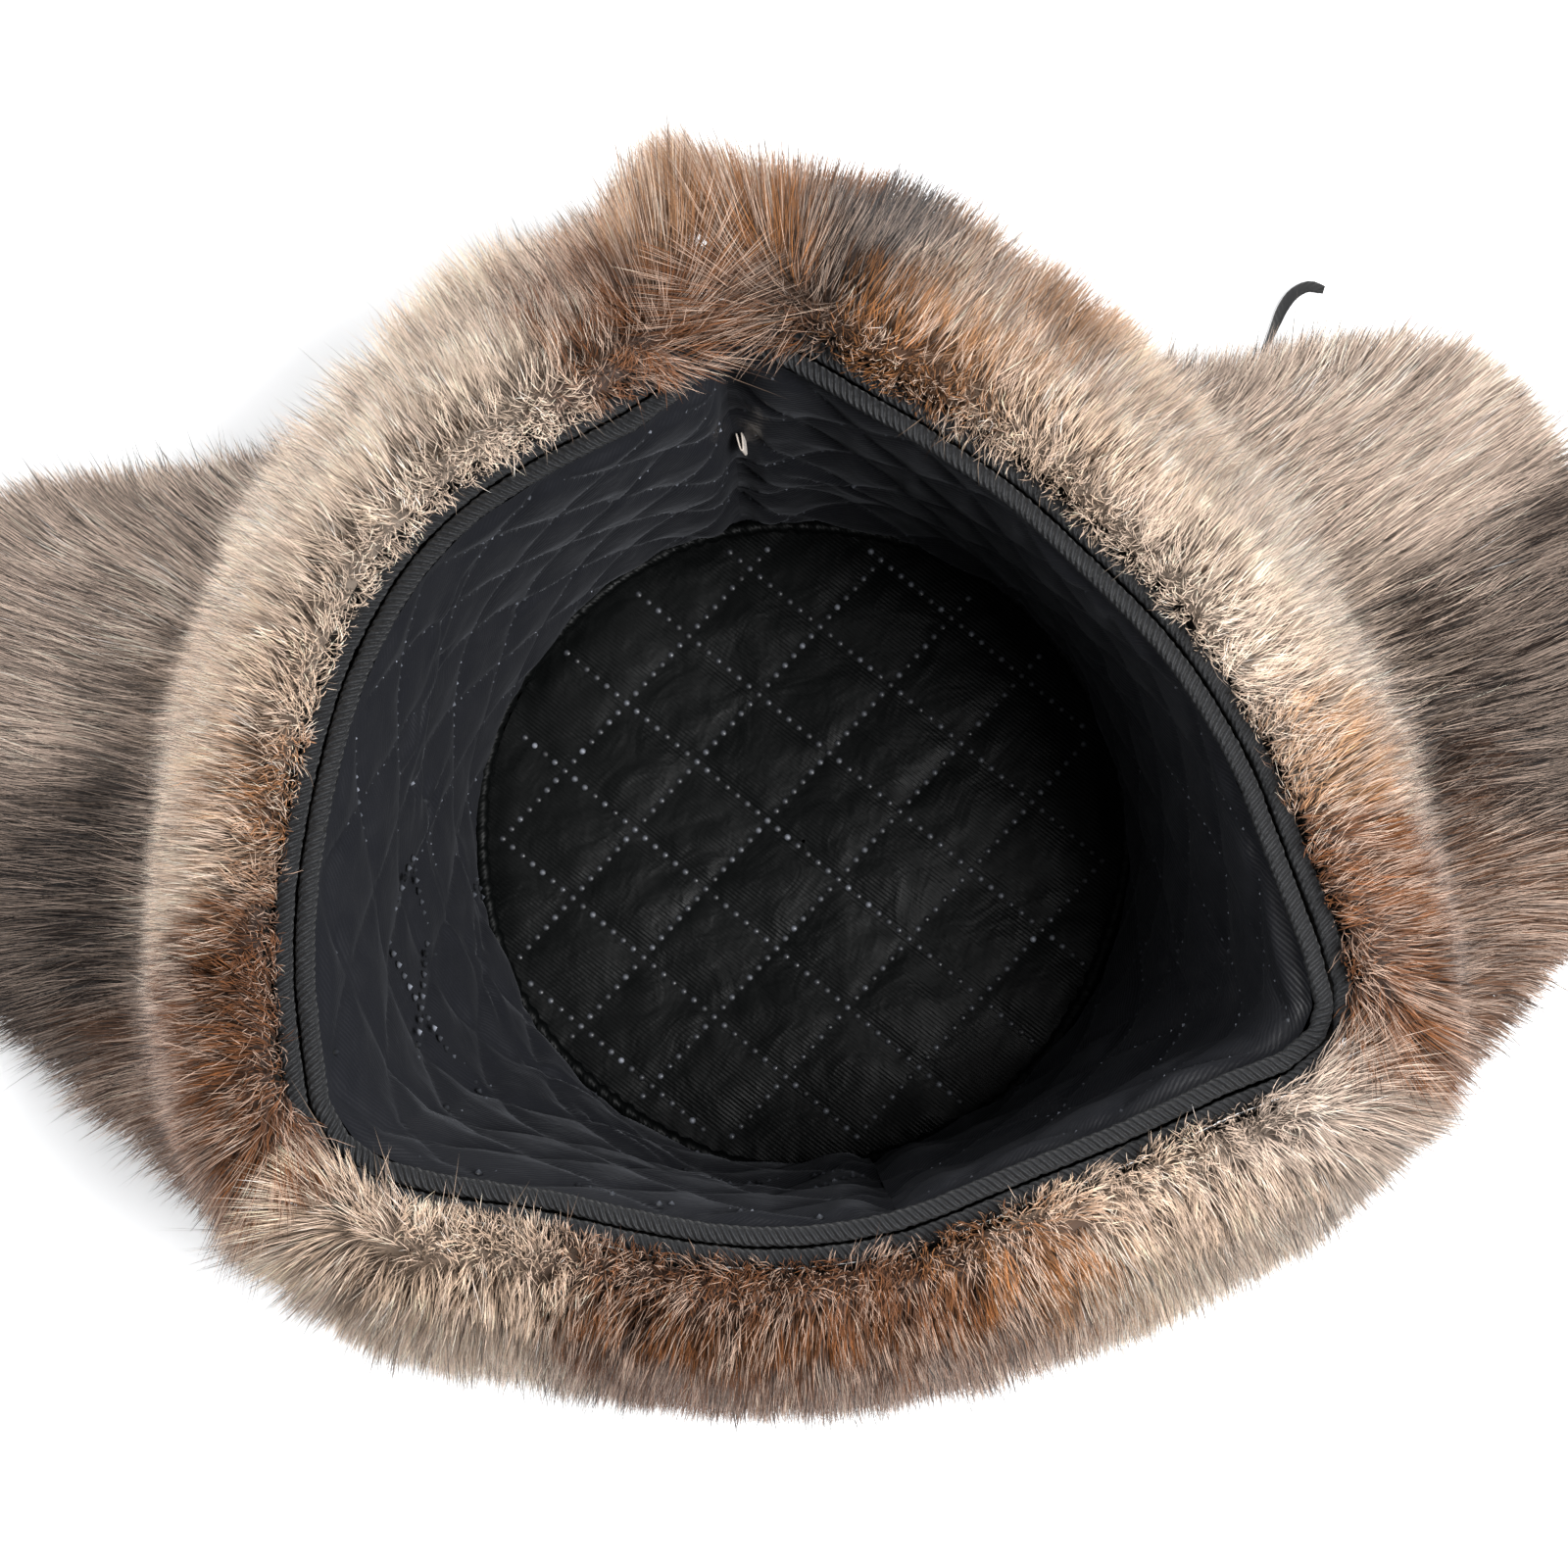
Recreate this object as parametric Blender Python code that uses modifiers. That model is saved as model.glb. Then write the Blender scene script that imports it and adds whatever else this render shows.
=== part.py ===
"""An aviator hat with fur flaps, resting on its crown with the head opening up.

Units are metres, +Z is up, -Y is the wearer's front. The origin is the middle of the flat of the
crown's top panel, which is what the hat rests on.
"""

import math
from collections import namedtuple

import bmesh
import bpy
import numpy as np

# Crown and rim
RIM_REACH = 0.100  # nominal reach of the rim from the crown's axis, where the fur starts
RIM_HEIGHT = 0.138  # rim above the flat of the crown's top panel
TIP_RADIUS = 0.0735  # round end of the lining, inside its seam
LINING_WALL = 0.0030  # quilted lining with its thin wadding
SHELL_WALL = 0.0020  # leather shell
WALL_SPACE = 0.0016  # between shell and lining
TIP_SPACE = 0.0040  # softer padding over the head's top
SEAM_SPACE = 0.0016  # from the shell to the rim line, which the flaps are laid out from
CORNER_RADIUS = 0.012  # how the top panel rolls up into the side wall
CORNER_TURN = 75.0  # degrees of that roll which belong to the top panel
GAP = 0.0003  # between pieces that are sewn together
SEAM_GAP = 0.0008  # between a flap's seam strip and the shell, which curve differently
SEAM_END = 0.0009  # from a seam's middle to the end of a piece that stops there

# Tapes
TAPE_RADIUS = 0.0014
TAPE_LIFT = 0.0003
TAPE_END = 0.0012  # from a seam's middle to a tape's end

# Flaps
FLAP_WALL = 0.0015
SEAM_LIP = 0.0045  # strip of the flap that is sewn to the shell
LIP_HEADING = 87.0  # degrees above level at which that strip leaves the shell
FOLD_RADIUS = 0.0050
NECK_DROP = 0.060
EAR_BEND_RADIUS = 0.035
EAR_REACH = 0.072  # straight stretch past the bend
EAR_SLOPE = 24.0  # degrees below level of that stretch
FRONT_DROP = 0.060
PILE = 0.0165
PILE_AT_SEAM = 0.0030
PILE_RISE = 0.022  # distance from the seam in which the pile reaches its full height
SWELL_START = 0.012  # the ring's own swell, by distance from the seam
SWELL_RISE = 0.014
SWELL_END = 0.054
SWELL_FALL = 0.024
EDGE_PILE = 0.0075
NOTCH_PILE = 0.0095  # more than that, on both sides of the notch at the back
NOTCH_START = 0.84  # share of a flap's way along the rim
EDGE_OVERHANG = 0.0090
EDGE_BLEND = 0.016
LOCK_HEIGHT = 0.0055
LOCK_LEAN = 0.0028
FLAP_SPACE = 0.0045  # between neighbouring flaps, which their hair closes

# Tie lace
LACE_WIDTH = 0.0028

# Woven tag in the back seam
TAG_THICKNESS = 0.0014
TAG_REACH = 0.0034
TAG_HEIGHT = 0.0065
TAG_LEVEL = 0.58  # share of the way from the lining's end to the rim

WALL_STATIONS = 25
WALL_LEVELS = (0.0, 0.05, 0.25, 0.5, 0.75, 1.0)
TIP_SEGMENTS = 40
FLAP_STATIONS = 19
FRONT_STATIONS = 19

# The rim seen from above, a row for each bearing in degrees from +X, reach as a share of RIM_REACH.
RimRow = namedtuple("RimRow", "bearing reach")
RIM = (
    RimRow(-151.0, 1.180),
    RimRow(-144.0, 1.165),
    RimRow(-137.0, 1.095),
    RimRow(-128.0, 1.010),
    RimRow(-117.0, 0.968),
    RimRow(-105.0, 0.950),
    RimRow(-87.0, 0.930),
    RimRow(-71.0, 0.920),
    RimRow(-56.0, 0.975),
    RimRow(-47.0, 1.035),
    RimRow(-40.0, 1.115),
    RimRow(-33.0, 1.140),
    RimRow(-26.0, 1.065),
    RimRow(-18.0, 0.970),
    RimRow(-6.0, 0.880),
    RimRow(5.0, 0.815),
    RimRow(16.0, 0.765),
    RimRow(29.0, 0.722),
    RimRow(44.0, 0.714),
    RimRow(59.0, 0.730),
    RimRow(72.0, 0.775),
    RimRow(84.0, 0.855),
    RimRow(93.0, 0.905),
    RimRow(101.0, 0.845),
    RimRow(109.0, 0.812),
    RimRow(121.0, 0.828),
    RimRow(140.0, 0.885),
    RimRow(158.0, 0.928),
    RimRow(177.0, 0.985),
    RimRow(189.0, 1.050),
    RimRow(200.0, 1.120),
)
BACK_BEARING = 93.4
FRONT_LEFT_BEARING = 212.0
FRONT_RIGHT_BEARING = -35.0
FRONT_SEAM_BEARING = -86.0

# Sections of a flap, by share of its way along the rim. lean is degrees past upright, drop and
# ear are shares of the flap's drop and of the ear's bend and reach. pile and swell are shares of
# PILE: swell is what the upper part, which rings the opening, has more than the rest.
FlapRow = namedtuple("FlapRow", "along lean drop ear pile swell")
LEFT_SECTIONS = (
    FlapRow(0.00, 2.0, 0.70, 0.30, 0.80, 0.15),
    FlapRow(0.06, 2.0, 0.80, 0.52, 0.95, 0.10),
    FlapRow(0.14, 2.0, 0.86, 0.80, 1.00, 0.05),
    FlapRow(0.26, 3.0, 0.88, 1.00, 1.00, 0.05),
    FlapRow(0.40, 4.0, 0.88, 1.00, 1.00, 0.20),
    FlapRow(0.53, 6.0, 0.88, 0.98, 0.95, 0.55),
    FlapRow(0.61, 8.0, 0.90, 0.78, 0.75, 0.75),
    FlapRow(0.69, 12.0, 0.96, 0.00, 1.00, 0.65),
    FlapRow(0.82, 18.0, 1.00, 0.00, 1.20, 0.50),
    FlapRow(1.00, 20.0, 0.95, 0.00, 1.60, 0.80),
)
RIGHT_SECTIONS = (
    FlapRow(0.00, 0.0, 0.65, 0.45, 0.75, 0.20),
    FlapRow(0.06, 0.0, 0.78, 0.78, 0.85, 0.15),
    FlapRow(0.16, 2.0, 0.86, 0.96, 0.95, 0.15),
    FlapRow(0.30, 4.0, 0.88, 1.00, 1.00, 0.30),
    FlapRow(0.46, 7.0, 0.88, 1.00, 1.00, 0.75),
    FlapRow(0.57, 10.0, 0.88, 1.00, 0.90, 1.00),
    FlapRow(0.65, 13.0, 0.90, 0.84, 0.70, 1.00),
    FlapRow(0.73, 16.0, 0.96, 0.00, 0.90, 0.75),
    FlapRow(0.86, 20.0, 1.00, 0.00, 1.25, 0.35),
    FlapRow(1.00, 18.0, 0.95, 0.00, 1.35, 0.60),
)
FRONT_SECTIONS = (
    FlapRow(0.00, 2.0, 0.80, 0.00, 0.95, 0.20),
    FlapRow(0.25, 2.0, 1.00, 0.00, 1.05, 0.00),
    FlapRow(0.50, 2.0, 1.00, 0.00, 1.00, 0.00),
    FlapRow(0.75, 4.0, 1.00, 0.00, 1.15, 0.00),
    FlapRow(1.00, 2.0, 0.80, 0.00, 0.95, 0.10),
)
# Where a flap's rows lie: shares of its fold, and of its fall past the fold.
FOLD_ROWS = (0.0, 0.25, 0.5, 0.75, 1.0)
FALL_ROWS = (0.12, 0.25, 0.38, 0.5, 0.62, 0.74, 0.87, 1.0)
FRONT_FALL_ROWS = (0.33, 0.67, 1.0)
BARE_ROW_COUNT = 2  # rows without fur: the seam strip, and the first of the fold

# The way each ear points, seen from above, in degrees from +X.
LEFT_EAR_BEARING = 154.0
RIGHT_EAR_BEARING = 17.0
EAR_DIRECTION_HOLD = 0.82

# The lace, from under the right ear flap down to the surface and out past the fur, in metres.
LACE_ROUTE = (
    (0.0960, 0.0660, 0.0540),
    (0.0960, 0.0662, 0.0430),
    (0.0961, 0.0665, 0.0320),
    (0.0963, 0.0669, 0.0200),
    (0.0972, 0.0680, 0.0110),
    (0.0993, 0.0703, 0.0052),
    (0.1025, 0.0738, 0.0026),
    (0.1065, 0.0787, 0.0018),
    (0.1120, 0.0862, 0.0017),
    (0.1175, 0.0945, 0.0017),
    (0.1220, 0.1017, 0.0017),
    (0.1243, 0.1057, 0.0017),
    (0.1267, 0.1095, 0.0017),
    (0.1298, 0.1125, 0.0017),
    (0.1334, 0.1136, 0.0017),
    (0.1366, 0.1123, 0.0017),
)
LACE_SPACING = 0.0060

COLLECTION = "aviator_hat"

Finish = namedtuple("Finish", "name colour roughness")
LEATHER = Finish("black_leather", (0.020, 0.019, 0.019), 0.55)
LINING = Finish("quilted_lining", (0.012, 0.012, 0.014), 0.42)
TAPE = Finish("twill_tape", (0.014, 0.014, 0.015), 0.70)
FUR = Finish("rabbit_fur", (0.52, 0.38, 0.25), 0.85)
WOVEN = Finish("woven_tag", (0.60, 0.55, 0.50), 0.80)
LACE = Finish("lace_cord", (0.020, 0.020, 0.022), 0.65)


def clear_scene():
    for obj in list(bpy.data.objects):
        bpy.data.objects.remove(obj)


def hat_collection():
    collection = bpy.data.collections.new(COLLECTION)
    bpy.context.scene.collection.children.link(collection)
    return collection


def material_of(finish):
    material = bpy.data.materials.get(finish.name)
    if material is None:
        material = bpy.data.materials.new(finish.name)
        material.use_nodes = True
        shader = material.node_tree.nodes["Principled BSDF"]
        shader.inputs["Base Color"].default_value = (*finish.colour, 1.0)
        shader.inputs["Roughness"].default_value = finish.roughness
        shader.inputs["Metallic"].default_value = 0.0
    return material


def add_object(name, data, finish, collection):
    obj = bpy.data.objects.new(name, data)
    data.materials.append(material_of(finish))
    collection.objects.link(obj)
    return obj


def curve_through(knots, values, at, period=None):
    """A smooth curve through a table's rows, each slope taken from the rows on both sides."""
    knots = np.asarray(knots, float)
    values = np.asarray(values, float)
    at = np.asarray(at, float)
    if period:
        at = knots[0] + np.mod(at - knots[0], period)
        knots = np.concatenate([knots[-2:] - period, knots, knots[:3] + period])
        values = np.concatenate([values[-2:], values, values[:3]])
    slopes = np.gradient(values, knots)
    row = np.clip(np.searchsorted(knots, at, side="right") - 1, 0, len(knots) - 2)
    step = knots[row + 1] - knots[row]
    t = np.clip((at - knots[row]) / step, 0.0, 1.0)
    return (
        values[row] * (1 + 2 * t) * (1 - t) ** 2
        + slopes[row] * step * t * (1 - t) ** 2
        + values[row + 1] * t * t * (3 - 2 * t)
        - slopes[row + 1] * step * t * t * (1 - t)
    )


def column(rows, name):
    return [getattr(row, name) for row in rows]


def rim_line(bearings):
    """Points of the rim, where the fur starts, for bearings in degrees."""
    bearings = np.asarray(bearings, float)
    reach = RIM_REACH * curve_through(
        column(RIM, "bearing"), column(RIM, "reach"), bearings, 360.0
    )
    angle = np.radians(bearings)
    return np.stack([reach * np.cos(angle), reach * np.sin(angle)], -1)


def rim_outward(bearings):
    """Unit directions square to the rim, seen from above, pointing away from the head."""
    half_step = 2.0
    along = rim_line(np.asarray(bearings) + half_step) - rim_line(np.asarray(bearings) - half_step)
    outward = np.stack([along[..., 1], -along[..., 0]], -1)
    return outward / np.linalg.norm(outward, axis=-1, keepdims=True)


def rim_offset(bearings, outward):
    return rim_line(bearings) + outward * rim_outward(bearings)


def bearings_by_length(start, end, shares):
    """Bearings at these shares of the rim's length from one bearing to another."""
    fine = np.linspace(start, end, 400)
    steps = np.linalg.norm(np.diff(rim_line(fine), axis=0), axis=1)
    along = np.concatenate([[0.0], np.cumsum(steps)])
    return np.interp(np.asarray(shares) * along[-1], along, fine)


def rim_length(start, end):
    points = rim_line(np.linspace(start, end, 400))
    return np.linalg.norm(np.diff(points, axis=0), axis=1).sum()


def smoothstep(x):
    x = np.clip(x, 0.0, 1.0)
    return x * x * (3 - 2 * x)


def grid_mesh(name, points, closed=False):
    """A sheet of faces through rows of points. A closed sheet joins its last column to its first."""
    rows, columns = points.shape[:2]
    mesh = bpy.data.meshes.new(name)
    faces = []
    for i in range(rows - 1):
        for j in range(columns if closed else columns - 1):
            k = (j + 1) % columns
            faces.append((i * columns + j, i * columns + k, (i + 1) * columns + k, (i + 1) * columns + j))
    mesh.from_pydata(points.reshape(-1, 3).tolist(), [], faces)
    mesh.update()
    return mesh


def smooth_shaded(obj, sharp_degrees=50.0):
    obj.data.shade_smooth()
    obj.data.set_sharp_from_angle(angle=math.radians(sharp_degrees))
    return obj


def thicken(obj, thickness, offset):
    """Makes a sheet a wall. An offset of -1 grows it against the faces' normals, and 1 along them."""
    solidify = obj.modifiers.new("wall", "SOLIDIFY")
    solidify.thickness = thickness
    solidify.offset = offset
    solidify.use_even_offset = True
    return obj


def lining_end_height():
    """Height of the lining's round end, on the side that the head touches."""
    return SHELL_WALL + TIP_SPACE + LINING_WALL


def wall_stack():
    """From the lining's inner face to the line where the fur starts."""
    return LINING_WALL + WALL_SPACE + SHELL_WALL + SEAM_SPACE


def wall_points(bearings, low, high, outward):
    """Rows of a crown wall, from the round end up to the rim, outward from the lining's inner face."""
    tip_reach = TIP_RADIUS + outward
    angle = np.radians(bearings)
    tip = np.stack([tip_reach * np.cos(angle), tip_reach * np.sin(angle)], -1)
    rim = rim_offset(bearings, outward - wall_stack())
    rows = []
    for level in WALL_LEVELS:
        flat = tip + (rim - tip) * level
        height = np.full(len(bearings), low + (high - low) * level)
        rows.append(np.column_stack([flat, height]))
    return np.array(rows)


def crown_wall(name, start, end, outward, wall, low, finish, collection):
    """Half of the crown's side, from the front seam to the back seam."""
    seam = math.degrees(SEAM_END / TIP_RADIUS)
    toward = math.copysign(1.0, end - start)
    bearings = np.linspace(start + toward * seam, end - toward * seam, WALL_STATIONS)
    points = wall_points(bearings, low, RIM_HEIGHT, outward)
    if toward < 0:
        points = points[:, ::-1]
    obj = add_object(name, grid_mesh(name, points), finish, collection)
    thicken(obj, wall, 1.0)
    return smooth_shaded(obj)


def turned(name, profile, finish, collection):
    """A closed turned piece: (radius, height) points down its outer side, from the axis to the axis."""
    mesh = bpy.data.meshes.new(name)
    edges = [(i, i + 1) for i in range(len(profile) - 1)]
    mesh.from_pydata([(radius, 0.0, height) for radius, height in profile], edges, [])
    obj = add_object(name, mesh, finish, collection)
    screw = obj.modifiers.new("turn", "SCREW")
    screw.steps = TIP_SEGMENTS
    screw.render_steps = TIP_SEGMENTS
    screw.use_merge_vertices = True
    screw.merge_threshold = 0.00001
    screw.use_smooth_shade = True
    return obj


def corner_arc(flat_radius, radius):
    """(radius, height) points of the top panel's roll, from its flat outwards."""
    steps = 4
    points = []
    for i in range(steps + 1):
        angle = math.radians(CORNER_TURN * i / steps)
        points.append(
            (flat_radius + radius * math.sin(angle), CORNER_RADIUS - radius * math.cos(angle))
        )
    return points


def crown_tip(collection):
    """The round leather top panel, flat where the hat rests on it."""
    wall_reach = TIP_RADIUS + LINING_WALL + WALL_SPACE + SHELL_WALL
    flat_radius = wall_reach - CORNER_RADIUS
    outer = corner_arc(flat_radius, CORNER_RADIUS)
    inner = corner_arc(flat_radius, CORNER_RADIUS - SHELL_WALL)
    profile = [(0.0, SHELL_WALL), *inner, *reversed(outer), (0.0, 0.0)]
    return turned("crown_tip", profile, LEATHER, collection)


def lining_tip(collection):
    """The lining's round end, slightly smaller than the wall that is sewn round it."""
    top = lining_end_height()
    bottom = top - LINING_WALL
    reach = TIP_RADIUS + 0.5 * LINING_WALL
    edge = 0.3 * LINING_WALL
    profile = [
        (0.0, top),
        (reach - edge, top),
        (reach, top - edge),
        (reach - edge, bottom),
        (0.0, bottom),
    ]
    return turned("lining_tip", profile, LINING, collection)


def crown(collection):
    crown_tip(collection)
    lining_tip(collection)
    lining_low = lining_end_height() + 2 * GAP
    corner_top = CORNER_RADIUS - (CORNER_RADIUS - SHELL_WALL) * math.cos(math.radians(CORNER_TURN))
    shell_low = corner_top + GAP
    shell_outward = LINING_WALL + WALL_SPACE
    back = BACK_BEARING
    front = FRONT_SEAM_BEARING
    for side, end in (("left", back - 360.0), ("right", back)):
        crown_wall(f"crown_wall_{side}", front, end, shell_outward, SHELL_WALL, shell_low, LEATHER, collection)
        crown_wall(f"lining_wall_{side}", front, end, 0.0, LINING_WALL, lining_low, LINING, collection)


def tape(name, start, end, outward, height, collection, steps, closed=False):
    """A rolled tape along the rim."""
    bearings = np.linspace(start, end, steps + 1)
    if closed:
        bearings = bearings[:-1]
    flat = rim_offset(bearings, outward)
    curve = bpy.data.curves.new(name, "CURVE")
    curve.dimensions = "3D"
    curve.bevel_depth = TAPE_RADIUS
    curve.bevel_resolution = 1
    curve.use_fill_caps = not closed
    spline = curve.splines.new("POLY")
    spline.points.add(len(flat) - 1)
    for point, (x, y) in zip(spline.points, flat):
        point.co = (x, y, height, 1.0)
    spline.use_cyclic_u = closed
    return add_object(name, curve, TAPE, collection)


def tapes(collection):
    """The tape on the lining's edge runs all round. Each flap has its own beside it."""
    height = RIM_HEIGHT + TAPE_LIFT + TAPE_RADIUS
    inner = 0.5 * LINING_WALL - wall_stack()
    outer = -SEAM_SPACE - 0.5 * SHELL_WALL
    seam = math.degrees(TAPE_END / RIM_REACH)
    tape("lining_tape", BACK_BEARING, BACK_BEARING + 360.0, inner, height, collection, 64, closed=True)
    tape(
        "flap_tape_left", FRONT_LEFT_BEARING - seam, BACK_BEARING + seam, outer, height, collection, 22
    )
    tape(
        "flap_tape_right", FRONT_RIGHT_BEARING + seam, BACK_BEARING - seam, outer, height, collection, 22
    )
    tape(
        "front_tape",
        FRONT_LEFT_BEARING - 360.0 + seam,
        FRONT_RIGHT_BEARING - seam,
        outer,
        height,
        collection,
        18,
    )


class Flap:
    """A fur flap, folded up over the rim. Its sheet is (outward, height) sections along the rim."""

    def __init__(self, name, start, end, sections, drop, ear_bearing, stations, fall_rows):
        self.name = name
        self.sections = sections
        self.drop = drop
        self.fall_rows = fall_rows
        self.notched = float(end == BACK_BEARING)
        space = 0.5 * FLAP_SPACE / rim_length(start, end)
        self.along = np.linspace(0.0, 1.0, stations)
        shares = space + (1 - 2 * space) * self.along
        self.bearings = bearings_by_length(start, end, shares)
        self.turn = math.copysign(1.0, end - start)
        angle = math.radians(ear_bearing)
        self.ear_way = np.array([math.cos(angle), math.sin(angle)])

    def at(self, name):
        return curve_through(column(self.sections, "along"), column(self.sections, name), self.along)

    def headings(self):
        """Lengths and headings of each section's stretches, in degrees above level."""
        lean = self.at("lean")
        ear = np.clip(self.at("ear"), 0.0, 1.0)
        down = lean - 90.0
        ear_heading = down + ear * (-EAR_SLOPE - down)
        fold = FOLD_RADIUS * np.radians(LIP_HEADING - down)
        drop = self.drop * self.at("drop")
        bend = EAR_BEND_RADIUS * np.radians(ear_heading - down)
        reach = EAR_REACH * ear
        return fold, drop, bend, reach, down, ear_heading

    def sheet(self):
        """The flap's middle surface: (outward, height) rows down each section, and their headings."""
        fold, drop, bend, reach, down, ear_heading = self.headings()
        lip = math.radians(LIP_HEADING)
        start = np.zeros((len(self.along), 2))
        start[:, 0] = SEAM_GAP - SEAM_SPACE + 0.5 * FLAP_WALL
        start[:, 1] = RIM_HEIGHT - 0.5 * FLAP_WALL - SEAM_LIP * math.sin(lip)
        top = start + SEAM_LIP * np.array([math.cos(lip), math.sin(lip)])
        rows = [start]
        headings = [np.full(len(self.along), LIP_HEADING)]
        for share in FOLD_ROWS:
            heading = LIP_HEADING + share * (down - LIP_HEADING)
            rows.append(top + self.arc(LIP_HEADING, heading, -FOLD_RADIUS))
            headings.append(heading)
        fold_end = rows[-1]
        for share in self.fall_rows:
            length = (drop + bend + reach) * share
            bent = np.clip(length - drop, 0.0, bend)
            heading = down + (ear_heading - down) * bent / np.maximum(bend, 1e-9)
            rows.append(
                fold_end
                + self.straight(np.minimum(length, drop), down)
                + self.arc(down, heading, EAR_BEND_RADIUS)
                + self.straight(np.maximum(length - drop - bend, 0.0), heading)
            )
            headings.append(heading)
        return np.array(rows), np.array(headings)

    @staticmethod
    def arc(start, end, radius):
        """From one heading to another round an arc. A negative radius turns downwards."""
        start = np.radians(start) + np.zeros_like(end)
        end = np.radians(end)
        return radius * np.column_stack([np.sin(end) - np.sin(start), np.cos(start) - np.cos(end)])

    @staticmethod
    def straight(length, heading):
        angle = np.radians(heading)
        return np.column_stack([length * np.cos(angle), length * np.sin(angle)])

    def placed(self, section, heading):
        """A section's (outward, height) points at the rim, and the fur side's and hair's directions."""
        rim = rim_line(self.bearings)
        outward = rim_outward(self.bearings)
        ear = np.clip(self.at("ear"), 0.0, 1.0)[:, None]
        way = outward + EAR_DIRECTION_HOLD * smoothstep(2.0 * ear) * (self.ear_way - outward)
        way /= np.linalg.norm(way, axis=1, keepdims=True)
        fold_reach = 2.0 * FOLD_RADIUS + SEAM_LIP * math.cos(math.radians(LIP_HEADING))
        near = np.minimum(section[:, :1], fold_reach)
        flat = rim + near * outward + (section[:, :1] - near) * way
        points = np.column_stack([flat, section[:, 1]])
        angle = np.radians(heading)[:, None]
        facing = np.where(section[:, :1] > fold_reach, way, outward)
        lay = np.column_stack([np.cos(angle) * facing, np.sin(angle)])
        return points, lay

    def surfaces(self):
        """Grids of the flap's points, fur-side normals and hair directions, a row down each section."""
        sections, headings = self.sheet()
        points, lays = [], []
        for section, heading in zip(sections, headings):
            placed, lay = self.placed(section, heading)
            points.append(placed)
            lays.append(lay)
        points, lays = np.array(points), np.array(lays)
        along = np.gradient(points, axis=1) * self.turn
        normals = np.cross(lays, along)
        normals /= np.linalg.norm(normals, axis=2, keepdims=True)
        return points, normals, lays

    def pile(self, points):
        """Height of the fur over the sheet, low at the seam and at the free edges."""
        steps = np.linalg.norm(np.diff(points, axis=0), axis=2)
        down = np.concatenate([np.zeros((1, points.shape[1])), np.cumsum(steps, axis=0)])
        from_edge = down[-1] - down
        ring = smoothstep((down - SWELL_START) / SWELL_RISE)
        ring = ring * (1 - smoothstep((down - SWELL_END) / SWELL_FALL))
        full = PILE * (self.at("pile") + self.at("swell") * ring)
        rise = PILE_AT_SEAM + (full - PILE_AT_SEAM) * smoothstep(down / PILE_RISE) ** 0.7
        side_length = np.linalg.norm(np.diff(points[0], axis=0), axis=1).sum()
        from_side = np.minimum(self.along, 1 - self.along) * side_length
        edge = smoothstep(from_edge / EDGE_BLEND)
        side = smoothstep(from_side / EDGE_BLEND)
        notch = self.notched * ring * smoothstep((self.along - NOTCH_START) / (1 - NOTCH_START))
        low = np.minimum(rise, EDGE_PILE + NOTCH_PILE * notch)
        return low + (rise - low) * np.minimum(edge, side), 1 - edge, 1 - side

    def build(self, collection):
        points, normals, lays = self.surfaces()
        half = 0.5 * FLAP_WALL
        shell = closed_layer(
            f"{self.name}_shell", points + half * normals, points - half * normals, self.turn
        )
        obj = add_object(f"{self.name}_shell", shell, LEATHER, collection)
        smooth_shaded(obj)
        first = BARE_ROW_COUNT
        base, skin, lay = points[first:], normals[first:], lays[first:]
        pile, edge, side = self.pile(base)
        inner = base + (half + GAP) * skin
        over = EDGE_OVERHANG * edge[..., None] * lay
        outer = inner + pile[..., None] * skin + over
        fur = closed_layer(f"{self.name}_fur", outer, inner, self.turn)
        grow_locks(fur, inner, self.turn)
        add_object(f"{self.name}_fur", fur, FUR, collection)


def closed_layer(name, outer, inner, turn):
    """A solid between two sheets of like rows and columns."""
    rows, columns = outer.shape[:2]
    count = rows * columns
    faces = []
    for i in range(rows - 1):
        for j in range(columns - 1):
            a, b = i * columns + j, i * columns + j + 1
            c, d = b + columns, a + columns
            faces.append((a, b, c, d))
            faces.append((count + a, count + d, count + c, count + b))
    border = [(0, j) for j in range(columns)]
    border += [(i, columns - 1) for i in range(1, rows)]
    border += [(rows - 1, j) for j in range(columns - 2, -1, -1)]
    border += [(i, 0) for i in range(rows - 2, 0, -1)]
    ring = [i * columns + j for i, j in border]
    for a, b in zip(ring, ring[1:] + ring[:1]):
        faces.append((b, a, count + a, count + b))
    if turn > 0:
        faces = [face[::-1] for face in faces]
    mesh = bpy.data.meshes.new(name)
    mesh.from_pydata(np.concatenate([outer, inner]).reshape(-1, 3).tolist(), [], faces)
    mesh.update()
    return mesh


def grow_locks(mesh, inner, turn):
    """Raises a leaning lock of fur from each face of the fur's outer side."""
    count = inner.shape[0] * inner.shape[1]
    columns = inner.shape[1]
    work = bmesh.new()
    work.from_mesh(mesh)
    work.verts.ensure_lookup_table()
    outside = [face for face in work.faces if all(v.index < count for v in face.verts)]
    places = [vertex.co.copy() for vertex in work.verts]
    made = bmesh.ops.poke(work, faces=outside, offset=LOCK_HEIGHT, center_mode="MEAN")
    for lock in made["verts"]:
        first = min(edge.other_vert(lock).index for edge in lock.link_edges)
        down = places[first + columns] - places[first]
        lock.co += down.normalized() * min(LOCK_LEAN, 0.3 * down.length)
    work.to_mesh(mesh)
    work.free()


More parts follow.
